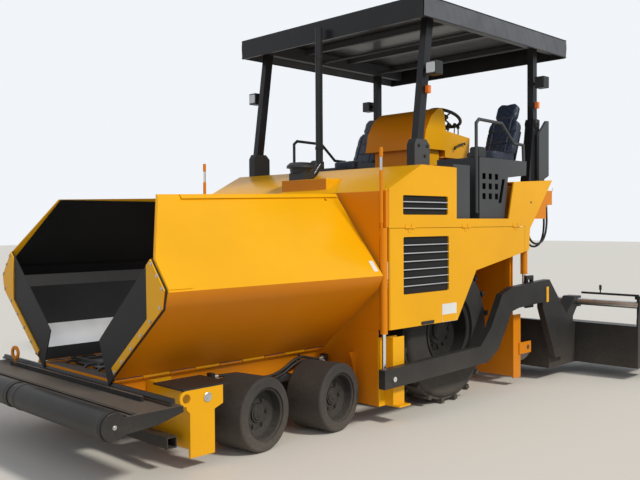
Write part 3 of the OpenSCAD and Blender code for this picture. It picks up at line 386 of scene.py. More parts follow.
def make_materials():
    c = bpy.context.scene.paver_colours
    MATERIALS.update(
        body=paint("Body paint", c.body, 0.32, coat=0.10, dust=0.10, dust_height=0.8),
        # a deeper orange copy of the body paint, as painted shade
        frame=paint("Frame paint deepened for painted shade", c.frame, 0.38, coat=0.05, dust=0.18, dust_height=0.8),
        dark=paint("Dark paint", c.dark, 0.42, coat=0.05, variation=0.2, dust=0.45, dust_height=0.8),
        black=paint("Black paint", (0.016, 0.016, 0.017), 0.34, coat=0.15, variation=0.15, dust=0.2),
        box=paint("Box paint", c.box, 0.45, variation=0.08, dust=0.1, grain=180.0),
        liner=paint("Hopper lining", (0.010, 0.010, 0.010), 0.5, variation=0.3, dust=0.04,
                    dust_height=1.0, grain=40.0),
        low_liner=paint("Worn hopper lining", (0.014, 0.014, 0.015), 0.42, variation=0.3, dust=0.06,
                        dust_height=1.0, grain=40.0),
        rib=paint("Rib paint", (0.060, 0.064, 0.072), 0.45, dust=0.0),
        deckplate=paint("Dusty plate", (0.060, 0.048, 0.038), 0.5, variation=0.3, dust=0.9,
                        dust_height=1.2),
        wheel=paint("Wheel paint", (0.018, 0.018, 0.018), 0.5, variation=0.2, dust=0.4,
                    dust_height=0.7),
        steel=bare_metal("Worn steel", (0.56, 0.55, 0.53), 0.36),
        floor_steel=bare_metal("Floor steel", (0.30, 0.295, 0.285), 0.42, scratch=0.9),
        chain=bare_metal("Chain steel", (0.10, 0.095, 0.09), 0.5, metallic=0.8),
        flight=bare_metal("Flight steel", (0.22, 0.20, 0.18), 0.48, stretch=(1.0, 1.0, 1.0)),
        chrome=bare_metal("Polished rod", (0.80, 0.80, 0.80), 0.16, scratch=0.08),
        iron=bare_metal("Cast iron", (0.09, 0.09, 0.09), 0.6, metallic=0.5),
        polished=bare_metal("Polished lining", (0.86, 0.86, 0.85), 0.34, metallic=0.75, scratch=0.25),
        silver=bare_metal("Zinc fitting", (0.62, 0.62, 0.60), 0.3, scratch=0.3),
        blade=plastic("Louvre blade", (0.012, 0.012, 0.013), 0.35),
        blade_edge=plastic("Louvre edge", (0.42, 0.43, 0.44), 0.3),
        # near-black and very rough: painted shade for what is seen inside grilles and slots
        inside=plastic("Painted shade inside", (0.004, 0.004, 0.004), 0.9),
        plastic=plastic("Black plastic", (0.014, 0.014, 0.014)),
        white=plastic("Blank plate", (0.70, 0.70, 0.66), 0.4),
        amber=plastic("Amber lens", (0.80, 0.17, 0.01), 0.25),
        lens=plastic("Lamp lens", (0.55, 0.57, 0.58), 0.12),
        tyre=rubber("Tyre rubber", (0.022, 0.021, 0.020)),
        flap=rubber("Flap rubber", (0.013, 0.013, 0.013), 0.6, 0.12),
        hose=rubber("Hose rubber", (0.012, 0.012, 0.012), 0.5, 0.25),
        cover=cloth("Seat cover", c.cover, threads=500.0, roughness=0.42, fading=0.35),
        curtain=cloth("Curtain cloth", c.curtain),
        roof=cloth("Roof cloth", (0.028, 0.029, 0.032), roughness=0.55, fading=0.3),
    )


# The finish of each node, with * for left and right
FINISHES = {
    "body": "front_brackets hood side_panel_* console tow_guides wing_* side_door_*",
    # the frame finish is painted shade: the body paint darkened to a deeper orange
    "frame": "main_frame front_wall level_cylinders rear_body lift_barrels",
    "dark": "running_gear deck push_beam push_roller_* drive_rim_* tow_arms screed_body"
            " screed_extension_* knuckle_front_* knuckle_rear_*",
    "black": "canopy_posts canopy_roof exhaust_stack",
    "box": "seat_consoles",
    "floor_steel": "feeder_floor",
    "chain": "feeder_chains",
    "flight": "auger_*",
    "chrome": "tow_rods lift_rods",
    "iron": "engine",
    "plastic": "controls air_precleaner lamps",
    "tyre": "drive_tyre_* wheel_front_* wheel_rear_*",
    "flap": "flap_*",
    "cover": "seat_left seat_right",
    "curtain": "canopy_curtains",
}
NODE_FINISH = {name.replace("*", side): finish for finish, names in FINISHES.items()
               for name in names.split() for side, _ in SIDES}

# Nodes shown by a copy with rounded edges, and the rounding where it isn't the usual one
SKINS = {
    "hood": 0.012, "side_panel_left": None, "side_panel_right": None, "side_door_left": None,
    "side_door_right": None, "wing_left": None, "wing_right": None, "front_wall": 0.004,
    "rear_body": None, "front_brackets": None, "tow_arms": 0.006, "tow_guides": 0.004,
    "seat_consoles": 0.005, "console": 0.012, "push_beam": 0.004, "screed_body": 0.004,
    "screed_extension_left": 0.004, "screed_extension_right": 0.004, "canopy_roof": 0.006,
    "canopy_posts": 0.006, "lamps": 0.006, "flap_left": 0.002, "flap_right": 0.002,
    "drive_rim_left": None, "drive_rim_right": None, "deck": None, "main_frame": 0.002,
}


# ---------------------------------------------------------------- modelling helpers


def deselect():
    if bpy.context.object and bpy.context.object.mode != "OBJECT":
        bpy.ops.object.mode_set(mode="OBJECT")
    bpy.ops.object.select_all(action="DESELECT")


def pick(obj):
    deselect()
    obj.select_set(True)
    bpy.context.view_layer.objects.active = obj
    return obj


def link(name, data):
    """A new object of a mesh or curve, in the scene."""
    obj = bpy.data.objects.new(name, data)
    bpy.context.scene.collection.objects.link(obj)
    return obj


def mesh_object(name, verts, edges, faces):
    mesh = bpy.data.meshes.new(name)
    mesh.from_pydata(verts, edges, faces)
    return link(name, mesh)


def place_in_mesh(obj):
    pick(obj)
    bpy.ops.object.transform_apply(location=True, rotation=True, scale=True)
    return obj


def turn_to(axis):
    """The turn that points +Z along an axis."""
    return Vector(axis).to_track_quat("Z", "Y")


def at(place, axis):
    """The matrix that moves the origin to a place and +Z along an axis."""
    return Matrix.Translation(place) @ turn_to(axis).to_matrix().to_4x4()


def finish_piece(obj, name, body, finish, smooth=30):
    """Names a piece, puts its place in its mesh and lets it ride on a body."""
    place_in_mesh(obj)
    obj.name = obj.data.name = name
    obj.data.materials.clear()
    obj.data.materials.append(MATERIALS[finish])
    bpy.ops.object.shade_smooth_by_angle(angle=math.radians(smooth))
    modify(obj, "WEIGHTED_NORMAL", keep_sharp=True, weight=50)
    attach(obj, body)
    return obj


def modify(obj, kind, **values):
    """Adds a modifier and applies it."""
    pick(obj)
    made = obj.modifiers.new(kind.title(), kind)
    for key, value in values.items():
        setattr(made, key, value)
    bpy.ops.object.modifier_apply(modifier=made.name)
    return obj


def soften(obj, width, steps=2, angle=30):
    """Rounds the edges that are sharper than an angle."""
    if width > 0:
        modify(obj, "BEVEL", width=width, segments=steps, limit_method="ANGLE",
               angle_limit=math.radians(angle), harden_normals=False)
    return obj


def box(lo, hi, edge=0.003, steps=2):
    lo, hi = Vector(lo), Vector(hi)
    deselect()
    bpy.ops.mesh.primitive_cube_add(size=1, location=(lo + hi) / 2, scale=hi - lo)
    return soften(place_in_mesh(bpy.context.object), edge, steps)


def side_box(s, x, y, z, edge, steps=2):
    """A box from its ends along each axis as they are on the left side."""
    return box(*zip(sorted((s * x[0], s * x[1])), y, z), edge, steps)


def rod(a, b, r, sides=24, edge=0.0):
    a, b = Vector(a), Vector(b)
    deselect()
    bpy.ops.mesh.primitive_cylinder_add(vertices=sides, radius=r, depth=(b - a).length,
                                        location=(a + b) / 2, rotation=turn_to(b - a).to_euler())
    return soften(place_in_mesh(bpy.context.object), edge, 2, 40)


PLANES = {
    "YZ": Matrix(((0, 0, 1), (1, 0, 0), (0, 1, 0))),
    "XZ": Matrix(((1, 0, 0), (0, 0, -1), (0, 1, 0))),
    "XY": Matrix.Identity(3),
}


def prism(outline, plane, start, end, edge=0.0, steps=2, holes=()):
    """A flat outline in a plane, thickened along that plane's normal from start to end."""
    curve = bpy.data.curves.new("outline", "CURVE")
    curve.dimensions = "2D"
    curve.fill_mode = "BOTH"
    for loop in (outline, *holes):
        line = curve.splines.new("POLY")
        line.points.add(len(loop) - 1)
        for point, (x, y) in zip(line.points, loop):
            point.co = (x, y, 0, 1)
        line.use_cyclic_u = True
    curve.extrude = abs(end - start) / 2
    obj = link("outline", curve)
    middle = (start + end) / 2 * (-1 if plane == "XZ" else 1)
    obj.matrix_world = PLANES[plane].to_4x4() @ Matrix.Translation((0, 0, middle))
    pick(obj)
    bpy.ops.object.convert(target="MESH")
    obj = place_in_mesh(bpy.context.object)
    modify(obj, "WELD", merge_threshold=1e-5)
    return soften(face_out(obj), edge, steps)


def face_out(obj):
    pick(obj)
    bpy.ops.object.mode_set(mode="EDIT")
    bpy.ops.mesh.select_all(action="SELECT")
    bpy.ops.mesh.normals_make_consistent(inside=False)
    bpy.ops.object.mode_set(mode="OBJECT")
    return obj


def bent_rod(points, r):
    """A round rod bent at each point."""
    curve = bpy.data.curves.new("run", "CURVE")
    curve.dimensions = "3D"
    curve.bevel_depth = r
    curve.bevel_resolution = 3
    curve.use_fill_caps = True
    line = curve.splines.new("POLY")
    line.points.add(len(points) - 1)
    for knot, place in zip(line.points, points):
        knot.co = (*place, 1)
    pick(link("run", curve))
    bpy.ops.object.convert(target="MESH")
    return bpy.context.object


def join(objects):
    deselect()
    for obj in objects:
        obj.select_set(True)
    bpy.context.view_layer.objects.active = objects[0]
    if len(objects) > 1:
        bpy.ops.object.join()
    return bpy.context.object


def copies(template, places):
    """The template's mesh at each (position, direction of its +Z), joined to one mesh."""
    made = []
    for position, direction in places:
        one = link("copy", template.data.copy())
        one.matrix_world = at(position, direction)
        made.append(one)
    bpy.data.objects.remove(template)
    return place_in_mesh(join(made))


def bolts(name, places, body, finish="steel", r=None, h=None):
    """Hexagon heads on washers, standing along a direction at each place."""
    r, h = r or sizes().bolt_r, h or sizes().bolt_h
    washer = rod((0, 0, -0.0005), (0, 0, h * 0.25), r * 1.35, 16)
    head = rod((0, 0, h * 0.25), (0, 0, h), r, 6, r * 0.12)
    return finish_piece(copies(join([washer, head]), places), name, body, finish)


def skin(name, width):
    """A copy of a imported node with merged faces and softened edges, which stands for the node."""
    source = NODES[name]
    made = pick(link(name + "_skin", source.data.copy()))
    bpy.ops.object.mode_set(mode="EDIT")
    bpy.ops.mesh.select_all(action="SELECT")
    bpy.ops.mesh.remove_doubles(threshold=2e-5)
    bpy.ops.mesh.dissolve_limited(angle_limit=math.radians(0.6))
    bpy.ops.object.mode_set(mode="OBJECT")
    soften(made, width or sizes().edge, 2, 32)
    finish_piece(made, name + "_skin", source["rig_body"], NODE_FINISH[name], 32)
    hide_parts(name)
    return made


def repaint(obj, finish, test, largest=math.inf):
    """Gives another finish to the faces up to a size whose centre and normal pass a test."""
    obj.data.materials.append(MATERIALS[finish])
    for face in obj.data.polygons:
        if face.area < largest and test(face.center, face.normal):
            face.material_index = len(obj.data.materials) - 1
    return obj


def repaint_skin(name, finish, test, largest=math.inf):
    return repaint(bpy.data.objects[name + "_skin"], finish, test, largest)


def turned(profile, centre, axis=UP, sides=64):
    """A (radius, height) outline turned about an axis; it's a ring unless both ends are on the axis."""
    count = len(profile)
    solid = profile[0][0] == 0 and profile[-1][0] == 0
    obj = mesh_object("turned", [(r, 0, h) for r, h in profile],
                      [(i, (i + 1) % count) for i in range(count - solid)], [])
    modify(obj, "SCREW", angle=math.tau, steps=sides, render_steps=sides, use_merge_vertices=True,
           merge_threshold=1e-5)
    obj.matrix_world = at(centre, axis)
    return face_out(place_in_mesh(obj))


def tube(points, r, sides):
    """A closed round tube through points."""
    verts, faces = [], []
    normal = None
    for i, p in enumerate(points):
        along = (points[min(i + 1, len(points) - 1)] - points[max(i - 1, 0)]).normalized()
        if normal is None:
            normal = along.orthogonal().normalized()
        normal = (normal - along * normal.dot(along)).normalized()
        other = along.cross(normal)
        verts += [p + (normal * c + other * n) * r for c, n in circle(sides)]
    for i in range(len(points) - 1):
        for k in range(sides):
            a, b = i * sides + k, i * sides + (k + 1) % sides
            faces.append((a, b, b + sides, a + sides))
    faces.append(tuple(reversed(range(sides))))
    faces.append(tuple(range((len(points) - 1) * sides, len(points) * sides)))
    return face_out(mesh_object("tube", verts, [], faces))


def smooth_run(knots, count):
    """Evenly spaced points along a smooth line through the knots."""
    places = [Vector(k) for k in knots]
    places = [places[0] * 2 - places[1], *places, places[-1] * 2 - places[-2]]
    fine = []
    for a, b, c, d in zip(places, places[1:], places[2:], places[3:]):
        for t in (i / 24 for i in range(24)):
            fine.append(0.5 * (2 * b + (c - a) * t + (2 * a - 5 * b + 4 * c - d) * t * t
                               + (3 * b - a - 3 * c + d) * t ** 3))
    fine.append(places[-2])
    lengths = [0.0]
    for a, b in zip(fine, fine[1:]):
        lengths.append(lengths[-1] + (b - a).length)
    made, k = [], 0
    for i in range(count):
        goal = lengths[-1] * i / (count - 1)
        while k < len(fine) - 2 and lengths[k + 1] < goal:
            k += 1
        f = (goal - lengths[k]) / max(lengths[k + 1] - lengths[k], 1e-9)
        made.append(fine[k].lerp(fine[k + 1], min(max(f, 0), 1)))
    return made


def inflate(obj, voxel, cap):
    """Pads out a closed form under air pressure as stitched cloth swells."""
    modify(obj, "REMESH", mode="VOXEL", voxel_size=voxel, use_smooth_shade=True)
    start = [v.co.copy() for v in obj.data.vertices]
    pick(obj)
    made = obj.modifiers.new("Cloth", "CLOTH")
    made.settings.use_pressure = True
    made.settings.uniform_pressure_force = 4
    made.settings.effector_weights.gravity = 0
    made.point_cache.frame_start, made.point_cache.frame_end = 1, 20
    for count in range(1, 21):
        bpy.context.scene.frame_set(count)
    bpy.ops.object.modifier_apply(modifier=made.name)
    bpy.context.scene.frame_set(1)
    for v, before in zip(obj.data.vertices, start):
        step = v.co - before
        if step.length > cap:
            v.co = before + step.normalized() * cap
    modify(obj, "SMOOTH", factor=0.5, iterations=2)
    return modify(obj, "SUBSURF", levels=1, render_levels=1)


# ---------------------------------------------------------------- outlines and places


def circle(count):
    """Directions spread evenly round a circle."""
    return [(math.cos(a), math.sin(a)) for a in (math.tau * i / count for i in range(count))]


def rounded(y0, z0, y1, z1, r, steps=5):
    """The outline of a rectangle with rounded corners."""
    made = []
    for cy, cz, start in ((y1 - r, z1 - r, 0), (y0 + r, z1 - r, 90), (y0 + r, z0 + r, 180),
                          (y1 - r, z0 + r, 270)):
        for i in range(steps + 1):
            a = math.radians(start + 90 * i / steps)
            made.append((cy + r * math.cos(a), cz + r * math.sin(a)))
    return made


def disc(*steps):
    """The profile of a solid disc, from its (radius, height) steps; it closes on the axis."""
    return [(0, steps[0][1]), *steps, (0, steps[-1][1])]


def share(a, b, f):
    """The point at a share of the way from a to b."""
    return tuple(p + (q - p) * f for p, q in zip(a, b))


def on_upper(z):
    """The point at a height on the outer face of the wing's upper plate."""
    return share(FOLD, WING_TOP, (z - FOLD[1]) / (WING_TOP[1] - FOLD[1]))


def outline_offset(a, b, distance):
    """Both ends of a segment moved to its left by a distance."""
    dx, dy = b[0] - a[0], b[1] - a[1]
    length = math.hypot(dx, dy)
    nx, ny = -dy / length * distance, dx / length * distance
    return (a[0] + nx, a[1] + ny), (b[0] + nx, b[1] + ny)


def lean_edge(obj, front):
    """Slopes the front edge of an upper lining back, as the wing's plate is cut."""
    for v in obj.data.vertices:
        if v.co.y < front + 0.02:
            v.co.y -= (CUT_TOP - max(v.co.z, CUT_LOW)) * CUT_SLOPE


def on_plate(name, body, s, outline, thick, finish):
    """A thin plate on the outer face of the wing's upper plate, from a [y, z] outline."""
    made = prism(outline, "YZ", 0.0005, thick, edge=0.0008)
    for v in made.data.vertices:
        v.co.x = s * (on_upper(v.co.z)[0] + v.co.x / PLATE_NORMAL_X)
    return finish_piece(face_out(made), name, body, finish)


def on_side(s, outline, low, high, edge=0.0, holes=()):
    """A plate along a side sheet, between two heights over the sheet's outer face."""
    return prism(outline, "YZ", s * (SIDE_X + low), s * (SIDE_X + high), edge, holes=holes)


# ---------------------------------------------------------------- operators


class PAVER_OT_stage(bpy.types.Operator):
    """Adds the floor, the light and the camera"""

    bl_idname = "paver.stage"
    bl_label = "Stage"

    def execute(self, context):
        deselect()
        bpy.ops.mesh.primitive_plane_add(size=120, location=(0, 0, 0))
        floor = bpy.context.object
        floor.name = "floor"
        made, tree = start_material("Pale floor")
        shade(tree, Base_Color=(0.66, 0.625, 0.555, 1), Roughness=0.85)
        floor.data.materials.append(made)

        # a soft light from all round, seen brighter by the camera and by glossy faces
        world = bpy.data.worlds.new("Soft light")
        context.scene.world = world
        world.use_nodes = True
        tree = world.node_tree
        back = feed_all(tree, tree.nodes["Background"], {"Color": (0.80, 0.87, 1.0, 1), "Strength": 0.55})
        bright = node(tree, "ShaderNodeBackground", Color=(0.93, 0.96, 1.0, 1), Strength=0.95)
        ray = tree.nodes.new("ShaderNodeLightPath").outputs
        gloss = math_node(tree, "MULTIPLY", ray["Is Glossy Ray"], 0.6)
        clear = math_node(tree, "MAXIMUM", gloss, ray["Is Transmission Ray"])
        mixed = node(tree, "ShaderNodeMixShader", Fac=math_node(tree, "MAXIMUM", ray["Is Camera Ray"], clear))
        tree.links.new(back.outputs[0], mixed.inputs[1])
        tree.links.new(bright.outputs[0], mixed.inputs[2])
        tree.links.new(mixed.outputs[0], tree.nodes["World Output"].inputs["Surface"])

        for name, place, power, soft, tint in (("sun", (11, 1.5, 10), 2.3, 0.14, (1.0, 0.965, 0.90)),
                                               ("fill", (4, -12, 7), 0.45, 1.2, (0.95, 0.97, 1.0))):
            deselect()
            bpy.ops.object.light_add(type="SUN", location=place)
            lamp = context.object
            lamp.name = name
            lamp.rotation_euler = (-Vector(place)).to_track_quat("-Z", "Y").to_euler()
            lamp.data.energy = power
            lamp.data.angle = soft
            lamp.data.color = tint

        # the photograph's camera
        deselect()
        bpy.ops.object.camera_add(location=(5.5, -5.71, 1.70),
                                  rotation=[math.radians(a) for a in (88.78749, 0.32633, 45.00809)])
        camera = context.object
        camera.name = "view"
        camera.data.sensor_width = 36
        camera.data.lens = 44.387
        context.scene.camera = camera
        context.scene.view_settings.view_transform = "Standard"
        return {"FINISHED"}


class PAVER_OT_finish_nodes(bpy.types.Operator):
    """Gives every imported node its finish"""

    bl_idname = "paver.finish_nodes"
    bl_label = "Finish the packed nodes"

    def execute(self, context):
        make_materials()
        for name, obj in NODES.items():
            obj.data.materials.clear()
            obj.data.materials.append(MATERIALS[NODE_FINISH[name]])
        return {"FINISHED"}


class PAVER_OT_hoses(bpy.types.Operator):
    """Runs the hydraulic hoses and their fittings"""

    bl_idname = "paver.hoses"
    bl_label = "Hoses"

    def execute(self, context):
        r = sizes().hose_r
        front = [(-1.960, 0.470), (-1.900, 0.470), (-1.780, 0.462), (-1.640, 0.425), (-1.500, 0.398),
                 (-1.380, 0.396), (-1.250, 0.430), (-1.140, 0.485), (-1.040, 0.510), (-0.940, 0.490),
                 (-0.860, 0.470), (-0.800, 0.470)]
        runs = [(f"front_hose_{i}", [(x, y, z + lift) for y, z in front], r)
                for i, x, lift in ((1, 0.572, 0.0), (2, 0.600, 0.012), (3, 0.586, 0.040))]
        loop = [(1.120, 2.130, 1.885), (1.120, 2.130, 1.840), (1.121, 2.132, 1.760),
                (1.122, 2.130, 1.660), (1.120, 2.112, 1.560), (1.112, 2.070, 1.478),
                (1.098, 2.010, 1.440), (1.080, 1.940, 1.440), (1.064, 1.886, 1.482),
                (1.052, 1.862, 1.550), (1.046, 1.858, 1.620), (1.044, 1.858, 1.690),
                (1.044, 1.858, 1.735)]
        inner = [(x + 0.034, y, z + (0.03 if z < 1.7 else 0)) for x, y, z in loop]
        runs += [("tail_hose_1", loop, r * 0.85), ("tail_hose_2", inner, r * 0.85)]
        # a fitting's profile, with its radii as shares of the hose's
        crimp = disc((1.15, -0.012), (1.15, 0.002), (1.4, 0.004), (1.4, 0.020), (1.12, 0.024),
                     (1.12, 0.050), (1.01, 0.052), (1.01, 0.0525))
        for name, knots, radius in runs:
            points = smooth_run(knots, 34)
            pipe = finish_piece(tube(points, radius, 14), name, "root", "hose", smooth=60)
            ends = []
            for here, there in ((points[0], points[1]), (points[-1], points[-2])):
                along = (there - here).normalized()
                ends.append(turned([(radius * k, h) for k, h in crimp], here - along * 0.030, along, 24))
            finish_piece(join(ends), name + "_fittings", "root", "silver")
        frame_x = 0.5562
        blocks = [box((frame_x, -2.022, 0.440), (0.618, -1.985, 0.545)),
                  box((frame_x, -0.775, 0.440), (0.618, -0.738, 0.545)),
                  box((frame_x, -1.052, 0.478), (0.563, -1.028, 0.570), 0.001)]
        finish_piece(join(blocks), "hose_blocks", "root", "dark")
        return {"FINISHED"}


class PAVER_OT_skins(bpy.types.Operator):
    """Rounds the edges of the sheet metal"""

    bl_idname = "paver.skins"
    bl_label = "Rounded sheet metal"

    def execute(self, context):
        for name, width in SKINS.items():
            skin(name, width)
        return {"FINISHED"}


class PAVER_OT_hopper(bpy.types.Operator):
    """Lines the hopper's wings and bolts their flanges"""

    bl_idname = "paver.hopper"
    bl_label = "Hopper"

    def execute(self, context):
        t = sizes().liner_t
        crease = on_upper(1.372)
        worn_end = share(HINGE, FOLD_LOW, 0.47)
        linings = (("bright", share(HINGE, FOLD_LOW, 0.17), worn_end, "polished", 0.02, t),
                   ("lower", worn_end, FOLD_LOW, "low_liner", 0.02, t),
                   ("side", FOLD_LOW, FOLD, "low_liner", 0.02, t),
                   ("middle", FOLD, crease, "low_liner", 0.02, t),
                   ("upper", crease, share(FOLD, WING_TOP, 0.94), "liner", 0.262, 2.2 * t))
        flange = ((1.075, 1.442), (1.14, 1.365), (1.20, 1.285), (1.175, 1.16), (1.06, 1.06),
                  (0.94, 0.958), (0.82, 0.855), (0.70, 0.752), (0.60, 0.668))
        plates = (("front_band", ((-2.828, 1.278), (-2.828, 1.469), (-2.580, 1.900), (-2.392, 1.900),
                                  (-2.640, 1.469), (-2.640, 1.278)), 0.006, "body"),
                  ("top_lip", ((-2.392, 1.884), (-2.392, 1.913), (-0.728, 1.956), (-0.728, 1.927)),
                   0.012, "body"),
                  ("blank_plate", ((-0.800, 1.300), (-0.800, 1.385), (-0.748, 1.385), (-0.748, 1.300)),
                   0.0015, "white"))
        for side, s in SIDES:
            body = "wing_" + side
            # the wing's downward faces low down take the deeper frame orange: painted shade on its underside
            repaint_skin(body, "frame", lambda c, n: n.z < -0.15 and c.z < 1.35)
            repaint_skin(body, "liner", lambda c, n: n.x * s < -0.2 and n.z > 0.1 and c.y > HOP_Y + 0.02)
            for name, a, b, finish, front, thick in linings:
                inner = outline_offset(a, b, WING_T + 0.0005)
                outer = outline_offset(a, b, WING_T + thick)
                made = prism([(s * x, z) for x, z in (*inner, *reversed(outer))], "XZ", HOP_Y + front,
                             WING_END_Y - 0.004, edge=0.001)
                if name == "upper":
                    lean_edge(made, HOP_Y + front)
                finish_piece(made, f"{body}_{name}_lining", body, finish)
            bolts(f"{body}_flange_bolts", [((s * x, HOP_Y - 0.0205, z), (0, -1, 0)) for x, z in flange],
                  body, r=0.010, h=0.007)
            for name, outline, thick, finish in plates:
                on_plate(f"{body}_{name}", body, s, outline, thick, finish)
        return {"FINISHED"}


class PAVER_OT_wheels(bpy.types.Operator):
    """Adds discs, hub caps and studs to the front wheels, and nuts and rings to the drive rims"""

    bl_idname = "paver.wheels"
    bl_label = "Wheels"

    def execute(self, context):
        dish = [(0.1895, 0.0765), (0.1895, 0.163), (0.1865, 0.1665), (0.181, 0.165), (0.178, 0.158),
                (0.175, 0.112), (0.168, 0.096), (0.155, 0.089), (0.137, 0.087), (0.130, 0.082),
                (0.075, 0.082), (0.069, 0.0765)]
        cap = [(0, 0.0943), (0.056, 0.0943), (0.056, 0.099), (0.050, 0.105), (0.030, 0.107),
               (0.026, 0.112), (0, 0.114)]
        for end, y in KINGPIN_Y:
            for side, s in SIDES:
                axle = Vector((s * math.cos(STEER_REST), s * math.sin(STEER_REST), 0))
                centre = Vector((s * KINGPIN_X, y, AXLE_Z)) + axle * DISC_OUT
                body = f"wheel_{end}_{side}"
                finish_piece(turned(dish, centre, axle), body + "_disc", body, "wheel")
                finish_piece(turned(cap, centre, axle, 40), body + "_cap", body, "wheel")
                turn = turn_to(axle).to_matrix()
                studs = [centre + axle * 0.0818 + turn @ Vector((c, n, 0)) * 0.103 for c, n in circle(6)]
                bolts(body + "_studs", [(stud, axle) for stud in studs], body, "wheel", 0.013, 0.018)
        rim_x, disc_x = 0.920, 0.0378
        lip = [(0.186, 0.0382), (0.192, 0.0382), (0.192, 0.043), (0.188, 0.046), (0.182, 0.044)]
        for side, s in SIDES:
            body = "drive_wheel_" + side
            lo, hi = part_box("drive_rim_" + side)
            y, z = (lo.y + hi.y) / 2, (lo.z + hi.z) / 2
            nuts = [(s * (rim_x + disc_x), y + 0.165 * c, z + 0.165 * n) for c, n in circle(12)]
            bolts(body + "_nuts", [(nut, (s, 0, 0)) for nut in nuts], body, "dark", 0.015, 0.020)
            finish_piece(turned(lip, (s * rim_x, y, z), (s, 0, 0)), body + "_ring", body, "dark")
        return {"FINISHED"}


class PAVER_OT_louvres(bpy.types.Operator):
    """Adds the blades, corners and, behind the side grilles, near-black sheets of painted shade, and what is
    fixed to the sides
    """

    bl_idname = "paver.louvres"
    bl_label = "Side grilles"

    def execute(self, context):
        # name, node of the sheet, body, distance behind the wall, z, length, height, slots
        grilles = (("upper", "side_panel_", None, 0.229, 1.769, 0.645, 0.168, 3),
                   ("lower", "side_door_", "side_door_", 0.233, 1.085, 0.654, 0.494, 7))
        lock = disc((0.011, 0), (0.011, 0.002), (0.008, 0.0035))
        sleeve = disc((0.015, 0), (0.016, 0.004), (0.016, 0.436), (0.013, 0.440))
        scale = disc((0.012, 0), (0.012, 0.108), (0.016, 0.110), (0.016, 0.186), (0.012, 0.190))
        level_x, level_y = 1.215, -0.704
        for side, s in SIDES:
            for name, sheet, body, back, z, long, high, slots in grilles:
                body = body + side if body else "root"
                y0, y1, top = WALL_Y + back, WALL_Y + back + long, z + high

                def on_blade(c, n):
                    return (abs(c.x) > SIDE_X - 0.016 and y0 < c.y < y1 and z < c.z < top
                            and abs(n.x) < 0.9)

                repaint_skin(sheet + side, "blade", on_blade, 0.05)
                middles = [z + i * high / slots for i in range(1, slots)]
                strips = [on_side(s, rounded(y0 + 0.002, at_z - 0.0042, y1 - 0.002, at_z + 0.0042, 0.0015),
                                  -0.001, 0.0006) for at_z in middles]
                finish_piece(join(strips), f"{name}_blade_edges_{side}", body, "blade_edge")
                hole = rounded(y0 + 0.0005, z + 0.0005, y1 - 0.0005, top - 0.0005, 0.016)
                corners = on_side(s, [(y0, z), (y1, z), (y1, top), (y0, top)], -0.0142, -0.0006,
                                  holes=[hole])
                finish_piece(corners, f"{name}_corners_{side}", body, "body")
                # a near-black sheet behind each grille: painted shade where the inside shows through
                dark = on_side(s, rounded(y0 - 0.012, z - 0.012, y1 + 0.012, top + 0.012, 0.02),
                               -0.021, -0.0155, 0.001)
                finish_piece(dark, f"{name}_back_{side}", body, "inside")
            door = "side_door_" + side
            for name, outline, low, high, edge, finish in (
                    ("label_plate_", rounded(0.092, 0.800, 0.312, 0.965, 0.008), 0.0002, 0.0014, 0, "white"),
                    ("label_stripe_", rounded(0.094, 0.802, 0.310, 0.868, 0.006), 0.001, 0.0017, 0, "body"),
                    ("door_grip_", rounded(-0.215, 0.806, -0.035, 0.834, 0.010), 0, 0.008, 0.003,
                     "plastic")):
                finish_piece(on_side(s, outline, low, high, edge), name + side, door, finish)
            filler = side_box(s, (1.178, 1.2485), (-0.684, -0.6465), (1.662, 1.972), 0.001)
            finish_piece(filler, "wall_strip_" + side, "root", "frame")
            wall = side_box(s, (0.558, 1.136), (1.461, 1.474), (0.700, 1.365), 0.002)
            finish_piece(wall, "rear_wall_" + side, "root", "frame")
            finish_piece(turned(lock, (s * (SIDE_X + 0.0001), 1.640, 1.905), (s, 0, 0), 24),
                         "panel_lock_" + side, "root", "plastic")
            finish_piece(turned(sleeve, (s * level_x, level_y, 1.700), UP, 24), "level_sleeve_" + side,
                         "root", "frame")
            rod_top = finish_piece(turned(scale, (s * level_x, level_y, 2.140), UP, 24),
                                   "level_scale_" + side, "root", "silver")
            repaint(rod_top, "frame", lambda c, n: c.z > 2.248)
        return {"FINISHED"}


